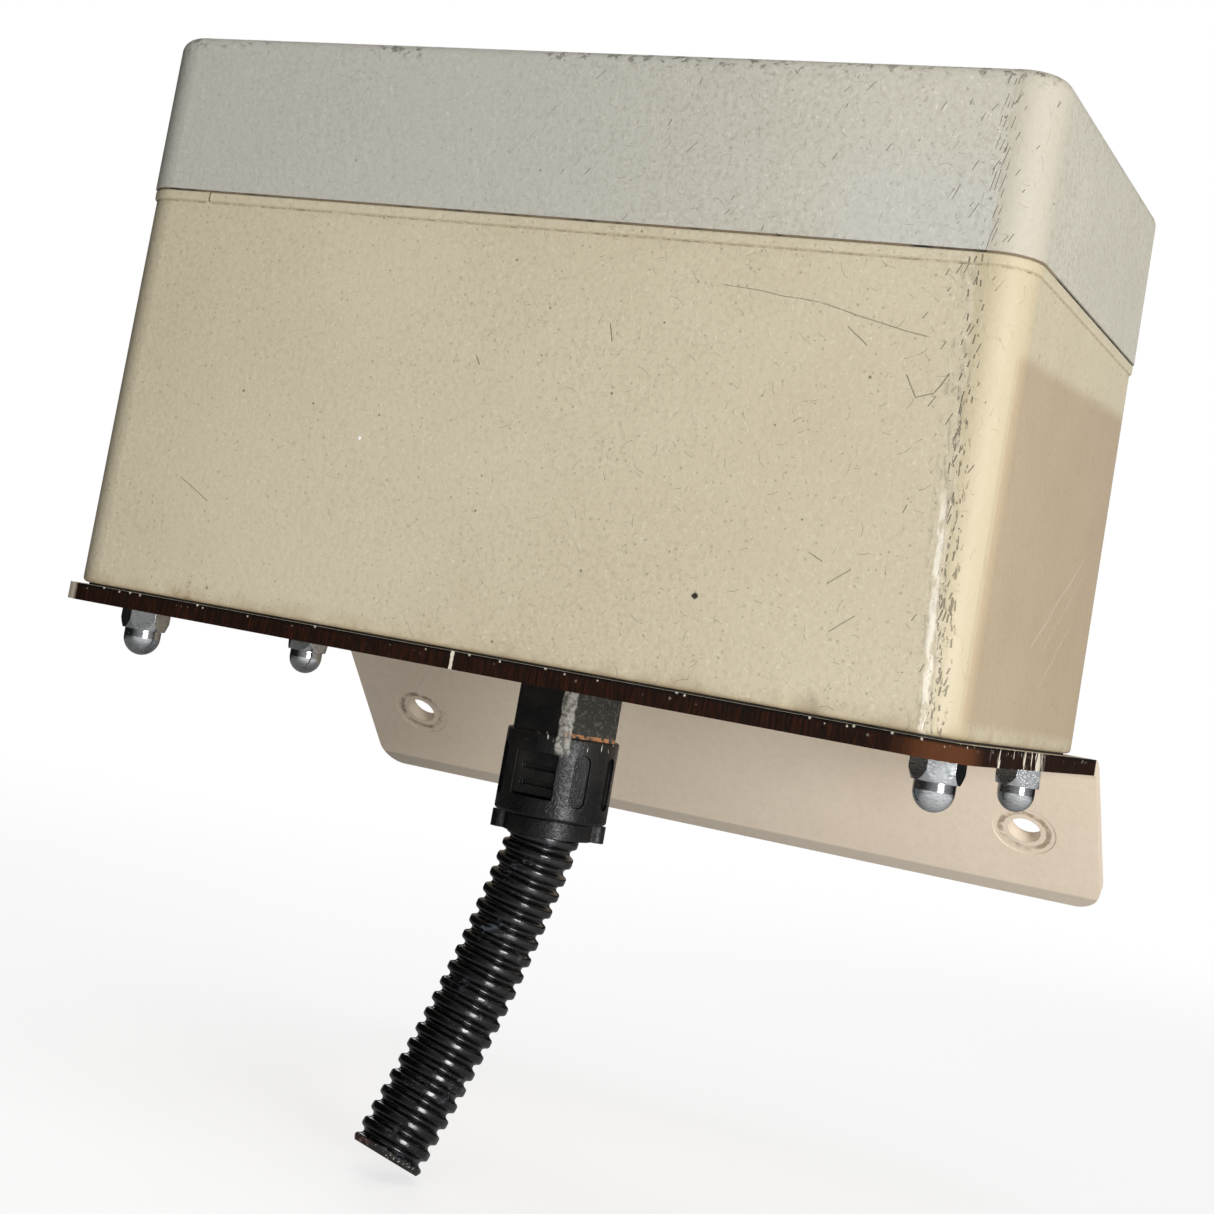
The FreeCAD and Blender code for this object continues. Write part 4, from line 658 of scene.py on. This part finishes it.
def cut_end():
    """The conduit's sawn end, with reddish soil on it."""
    made = Finish("conduit_cut_end", Roughness=0.75)
    soil = made.step(made.noise(420.0, detail=4.0, roughness=0.7), 0.42, 0.6)
    left = made.step(made.x, -0.02, -0.034)
    colour = made.mix(made.both(soil, left), linear("151313"), linear("b98572"))
    colour = made.mix(made.both(made.step(made.noise(1100.0), 0.6, 0.7), 0.6), colour, linear("cfc6bb"))
    made.set("Base Color", colour)
    made.bump((made.noise(1300.0, detail=3.0), 0.0003))
    return made.material


def circuit_board():
    """Green solder mask over copper tracks, with bare edges of glass laminate."""
    made = Finish("circuit_board", Roughness=0.32, Coat_Weight=0.5, Coat_Roughness=0.1)
    _, _, face_z = made.normal()
    distance, colour, _ = made.cells(260.0, made.join(made.x, made.y), flat=True)
    lanes = made.math("ABSOLUTE", made.math("SINE", made.times(made.plus(made.x, made.split(colour)[0]),
                                                               math.pi / 0.0012)))
    tracks = made.step(lanes, 0.55, 0.7)
    pads = made.both(made.step(distance, 0.2, 0.14), made.math("LESS_THAN", made.split(colour)[1], 0.6))
    shown = made.mix(tracks, linear("0d3b22"), linear("1c5c36"))
    shown = made.mix(pads, shown, linear("c2c0b2"))
    edges = made.step(made.math("ABSOLUTE", face_z), 0.6, 0.4)
    made.set("Base Color", made.mix(edges, shown, linear("a59a5f")))
    made.bump((made.plus(tracks, pads), 0.00005))
    return made.material


def lead_insulation():
    """Insulated wires, each in one of the usual colours."""
    made = Finish("lead_insulation", Roughness=0.4)
    pick = made.node("ShaderNodeNewGeometry").outputs["Random Per Island"]
    colour = made.mix(made.step(pick, 0.3, 0.31), linear("a3201c"), linear("17171a"))
    colour = made.mix(made.step(pick, 0.6, 0.61), colour, linear("2c4f9e"))
    colour = made.mix(made.times(made.step(made.noise(300.0), 0.5, 0.75), 0.2), colour, linear("8c8780"))
    made.set("Base Color", colour)
    made.bump((made.noise(700.0), 0.00006))
    return made.material


def sleeve():
    """A capacitor's shrunk sleeve with a pale polarity band and a bare metal top."""
    made = Finish("capacitor_sleeve", Roughness=0.3)
    low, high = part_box("smoothing_capacitor")
    middle = (low + high) / 2
    dx, dy = made.minus(made.x, middle.x), made.minus(made.y, middle.y)
    far = made.hypot(dx, dy)
    stripe = made.both(made.step(dy, 0.002, 0.0015), made.step(dx, 0.0, 0.0005),
                       made.step(dy, -0.003, -0.0025))
    top = made.both(made.step(made.z, high.z - 0.0006, high.z - 0.0003),
                    made.step(far, (high.x - low.x) * 0.4, (high.x - low.x) * 0.38))
    colour = made.mix(made.step(made.noise(120.0), 0.3, 0.7), linear("16203a"), linear("1f2a48"))
    colour = made.mix(stripe, colour, linear("c9ccd2"))
    made.set("Base Color", made.mix(top, colour, linear("b4b6b8")))
    made.set("Metallic", top)
    made.bump((made.noise(600.0), 0.00005))
    return made.material


# ---- the conduit ------------------------------------------------------------------------------
def smooth_route():
    """Return the points of one smooth line along the conduit's route."""
    curve = bpy.data.curves.new("conduit_route", "CURVE")
    curve.dimensions = "3D"
    spline = curve.splines.new("NURBS")
    spline.points.add(len(CONDUIT_ROUTE) - 1)
    for point, place in zip(spline.points, CONDUIT_ROUTE):
        point.co = (*(CONDUIT_ORIGIN + Vector(place)), 1.0)
    spline.order_u = 3
    spline.use_endpoint_u = True
    spline.resolution_u = 40
    holder = bpy.data.objects.new("conduit_route", curve)
    line = bpy.data.meshes.new_from_object(holder)
    points = [vertex.co.copy() for vertex in line.vertices]
    bpy.data.objects.remove(holder)
    bpy.data.meshes.remove(line)
    bpy.data.curves.remove(curve)
    return points


def stations(points, count):
    """Return (place, direction, distance) at even steps along a line of points."""
    lengths = [0.0]
    for a, b in zip(points, points[1:]):
        lengths.append(lengths[-1] + (b - a).length)
    found, index = [], 0
    for step in range(count + 1):
        distance = lengths[-1] * step / count
        while index < len(points) - 2 and lengths[index + 1] < distance:
            index += 1
        share = (distance - lengths[index]) / (lengths[index + 1] - lengths[index])
        direction = (points[index + 1] - points[index]).normalized()
        found.append((points[index].lerp(points[index + 1], share), direction, distance))
    return found, lengths[-1]


def rib_radius(distance, length):
    """Return the conduit's outer radius: rounded crests with narrower grooves, and a worn cut end."""
    crest = 0.5 + 0.5 * math.tanh(2.2 * math.cos(2 * math.pi * distance / RIB_PITCH) + 0.7)
    radius = CONDUIT_RADIUS - RIB_DEPTH * (1 - crest)
    to_end = length - distance
    if to_end < CUT_CHAMFER:
        radius = min(radius, CONDUIT_RADIUS - 0.6 * (CUT_CHAMFER - to_end))
    return radius


def ribbed_conduit():
    """Build the corrugated conduit as one closed tube along its route."""
    route = smooth_route()
    rough_length = sum((b - a).length for a, b in zip(route, route[1:]))
    count = round(rough_length / RIB_PITCH * RINGS_PER_RIB)
    path, length = stations(route, count)
    side = Vector((1, 0, 0))
    outer, inner = [], []
    for place, direction, distance in path:
        side = (side - direction * side.dot(direction)).normalized()
        other = direction.cross(side)
        radius = rib_radius(distance, length)
        for ring, size in ((outer, radius), (inner, radius - CONDUIT_WALL)):
            ring.append([place + (side * math.cos(angle) + other * math.sin(angle)) * size
                         for angle in (2 * math.pi * k / SIDES for k in range(SIDES))])
    rings = outer + inner[::-1]
    vertices = [point for ring in rings for point in ring]
    faces, kinds = [], []
    total = len(rings)
    for r in range(total):
        after = (r + 1) % total
        for k in range(SIDES):
            nxt = (k + 1) % SIDES
            faces.append((r * SIDES + k, r * SIDES + nxt, after * SIDES + nxt, after * SIDES + k))
            kinds.append(1 if len(outer) - END_RINGS <= r < len(outer) + 2 else 0)
    mesh = bpy.data.meshes.new("conduit_ribs")
    mesh.from_pydata(vertices, [], faces)
    mesh.materials.append(conduit_plastic())
    mesh.materials.append(cut_end())
    mesh.polygons.foreach_set("material_index", kinds)
    mesh.polygons.foreach_set("use_smooth", [True] * len(faces))
    mesh.validate()
    mesh.update()
    piece = bpy.data.objects.new("conduit_ribs", mesh)
    bpy.context.scene.collection.objects.link(piece)
    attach(piece, "case")
    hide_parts("conduit")


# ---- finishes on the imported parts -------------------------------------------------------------
def dress_parts():
    """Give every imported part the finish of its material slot."""
    finishes = {
        "case_paint": enamel("case_enamel", "c9bfa6", "c2b79d", 0.2, body_wear_and_painted_light),
        "lid_paint": enamel("lid_enamel", "c6c1b1", "bfbaab", 0.34, lid_wear_and_painted_shade),
        "bracket_paint": bracket_finish(),
        "zinc": metal("bright_zinc", "b9bbbc", "85898c", 0.17, grain=(700.0, 700.0, 2600.0),
                      tarnish="6f6a60"),
        "sheet_steel": metal("galvanised_sheet", "c3c7c9", "9ea3a6", 0.38, grain=(160.0, 160.0, 160.0)),
        "machined_steel": metal("machined_steel", "b9babc", "8f9092", 0.26, grain=(2600.0, 160.0, 160.0)),
        "bronze": metal("oiled_bronze", "c08a4c", "8a5f2e", 0.3, grain=(1800.0, 200.0, 200.0),
                        tarnish="4a3420"),
        "heat_sink": metal("extruded_aluminium", "c9cbcd", "a5a7aa", 0.34, grain=(120.0, 2200.0, 2200.0)),
        "core_steel": laminated(),
        "winding": winding(),
        "motor_paint": plastic("motor_enamel", "101012", "6d6a64", 0.32, grain=420.0),
        "magnet": plastic("ferrite", "1d1d20", "55504a", 0.7, grain=1600.0),
        "carbon": plastic("pressed_carbon", "0d0d0e", "3a3836", 0.6, grain=1900.0),
        "nylon": fitting_nylon(),
        "rubber": dusty_rubber(),
        "black_plastic": plastic("black_moulding", "121213", "75716a", 0.42),
        "blue_plastic": plastic("relay_blue", "1e3f86", "8b93a8", 0.34),
        "green_plastic": plastic("terminal_green", "1f7a3e", "9db5a1", 0.4),
        "red_plastic": plastic("button_red", "a5231b", "c9938c", 0.3),
        "white_plastic": plastic("white_acetal", "dcdad2", "a39b89", 0.35),
        "board": circuit_board(),
        "sleeve": sleeve(),
        "wire": lead_insulation(),
    }
    for subpart in frame["record"]["subparts"]:
        finish = finishes.get(subpart["material_slot"])
        part = frame["nodes"][subpart["node"]]
        if finish is None:
            continue
        if not part.material_slots:
            part.data.materials.append(finish)
        for place in part.material_slots:
            place.material = finish


# ---- floor, lights and camera -----------------------------------------------------------------
def add_floor():
    """A pale floor just under the conduit's end, which fades into the background."""
    size, start_fade, end_fade = 3.0, 0.5, 1.2
    mesh = bpy.data.meshes.new("floor")
    corners = [(-size, -size), (size, -size), (size, size), (-size, size)]
    low = cad_box[0].z - 0.0005
    mesh.from_pydata([(x, CASE_MIDDLE + y, low) for x, y in corners], [], [(0, 1, 2, 3)])
    floor = bpy.data.objects.new("floor", mesh)
    bpy.context.scene.collection.objects.link(floor)
    made = Finish("pale_floor", Roughness=0.9)
    dy = made.minus(made.y, CASE_MIDDLE)
    far = made.hypot(made.x, dy)
    made.set("Base Color", (0.34, 0.34, 0.34, 1.0))
    made.set("Emission Color", (1.0, 1.0, 1.0, 1.0))
    seen = made.node("ShaderNodeLightPath").outputs["Is Camera Ray"]
    turn = math.radians(KEY_TURN)
    toward = made.minus(made.times(made.x, math.sin(turn)), made.times(dy, math.cos(turn)))
    glow = made.plus(0.05, made.times(made.step(toward, -0.12, 0.4), 0.95))
    made.set("Emission Strength", made.blendf(seen, glow, 0.72))
    made.set("Alpha", made.step(far, end_fade, start_fade))
    mesh.materials.append(made.material)


def add_world():
    """A white backdrop whose light on the object is weak, and strongest from its right front."""
    world = bpy.data.worlds.new("studio")
    world.use_nodes = True
    nodes, links = world.node_tree.nodes, world.node_tree.links
    background = nodes["Background"]
    background.inputs["Color"].default_value = (1.0, 1.0, 1.0, 1.0)
    turn = math.radians(KEY_TURN)
    facing = nodes.new("ShaderNodeVectorMath")
    facing.operation = "DOT_PRODUCT"
    facing.inputs[1].default_value = (math.sin(turn), -math.cos(turn), 0.25)
    links.new(nodes.new("ShaderNodeTexCoord").outputs["Generated"], facing.inputs[0])
    soft = nodes.new("ShaderNodeMapRange")
    soft.interpolation_type = "SMOOTHSTEP"
    for socket, value in (("From Min", 0.0), ("From Max", 1.0), ("To Min", 0.02), ("To Max", 0.42)):
        soft.inputs[socket].default_value = value
    links.new(facing.outputs["Value"], soft.inputs["Value"])
    strength = nodes.new("ShaderNodeMix")
    strength.inputs[3].default_value = 1.0
    links.new(nodes.new("ShaderNodeLightPath").outputs["Is Camera Ray"], strength.inputs[0])
    links.new(soft.outputs["Result"], strength.inputs[2])
    links.new(strength.outputs[0], background.inputs["Strength"])
    bpy.context.scene.world = world


def add_light(name, turn, rise, distance, width, height, power):
    """An area light that faces the case from turn degrees right of its front."""
    light = bpy.data.lights.new(name, "AREA")
    light.shape = "RECTANGLE"
    light.size, light.size_y = width, height
    light.energy = power
    lamp = bpy.data.objects.new(name, light)
    bpy.context.scene.collection.objects.link(lamp)
    turn, rise = math.radians(turn), math.radians(rise)
    out = Vector((math.sin(turn) * math.cos(rise), -math.cos(turn) * math.cos(rise), math.sin(rise)))
    lamp.location = Vector((0, CASE_MIDDLE, BASE + 0.06)) + out * distance
    lamp.rotation_euler = out.to_track_quat("Z", "Y").to_euler()


def add_camera():
    """A camera a little under the case's mid-height, to the right of its front."""
    data = bpy.data.cameras.new("camera")
    data.lens = CAMERA_LENS
    data.shift_y = CAMERA_SHIFT
    data.clip_start = 0.01
    camera = bpy.data.objects.new("camera", data)
    bpy.context.scene.collection.objects.link(camera)
    camera.matrix_world = (Matrix.Translation(CAMERA_PLACE) @ Matrix.Rotation(CAMERA_TURN, 4, "Z")
                           @ Matrix.Rotation(math.pi / 2 + CAMERA_RISE, 4, "X")
                           @ Matrix.Rotation(CAMERA_ROLL, 4, "Z"))
    bpy.context.scene.camera = camera


dress_parts()
ribbed_conduit()
add_floor()
add_world()
add_light("key", turn=KEY_TURN, rise=1, distance=1.9, width=0.7, height=0.5, power=31)
add_light("back", turn=212, rise=24, distance=1.7, width=0.9, height=0.9, power=9)
add_light("top", turn=10, rise=72, distance=1.4, width=1.0, height=1.0, power=6)
add_camera()
bpy.context.scene.view_settings.view_transform = "Standard"
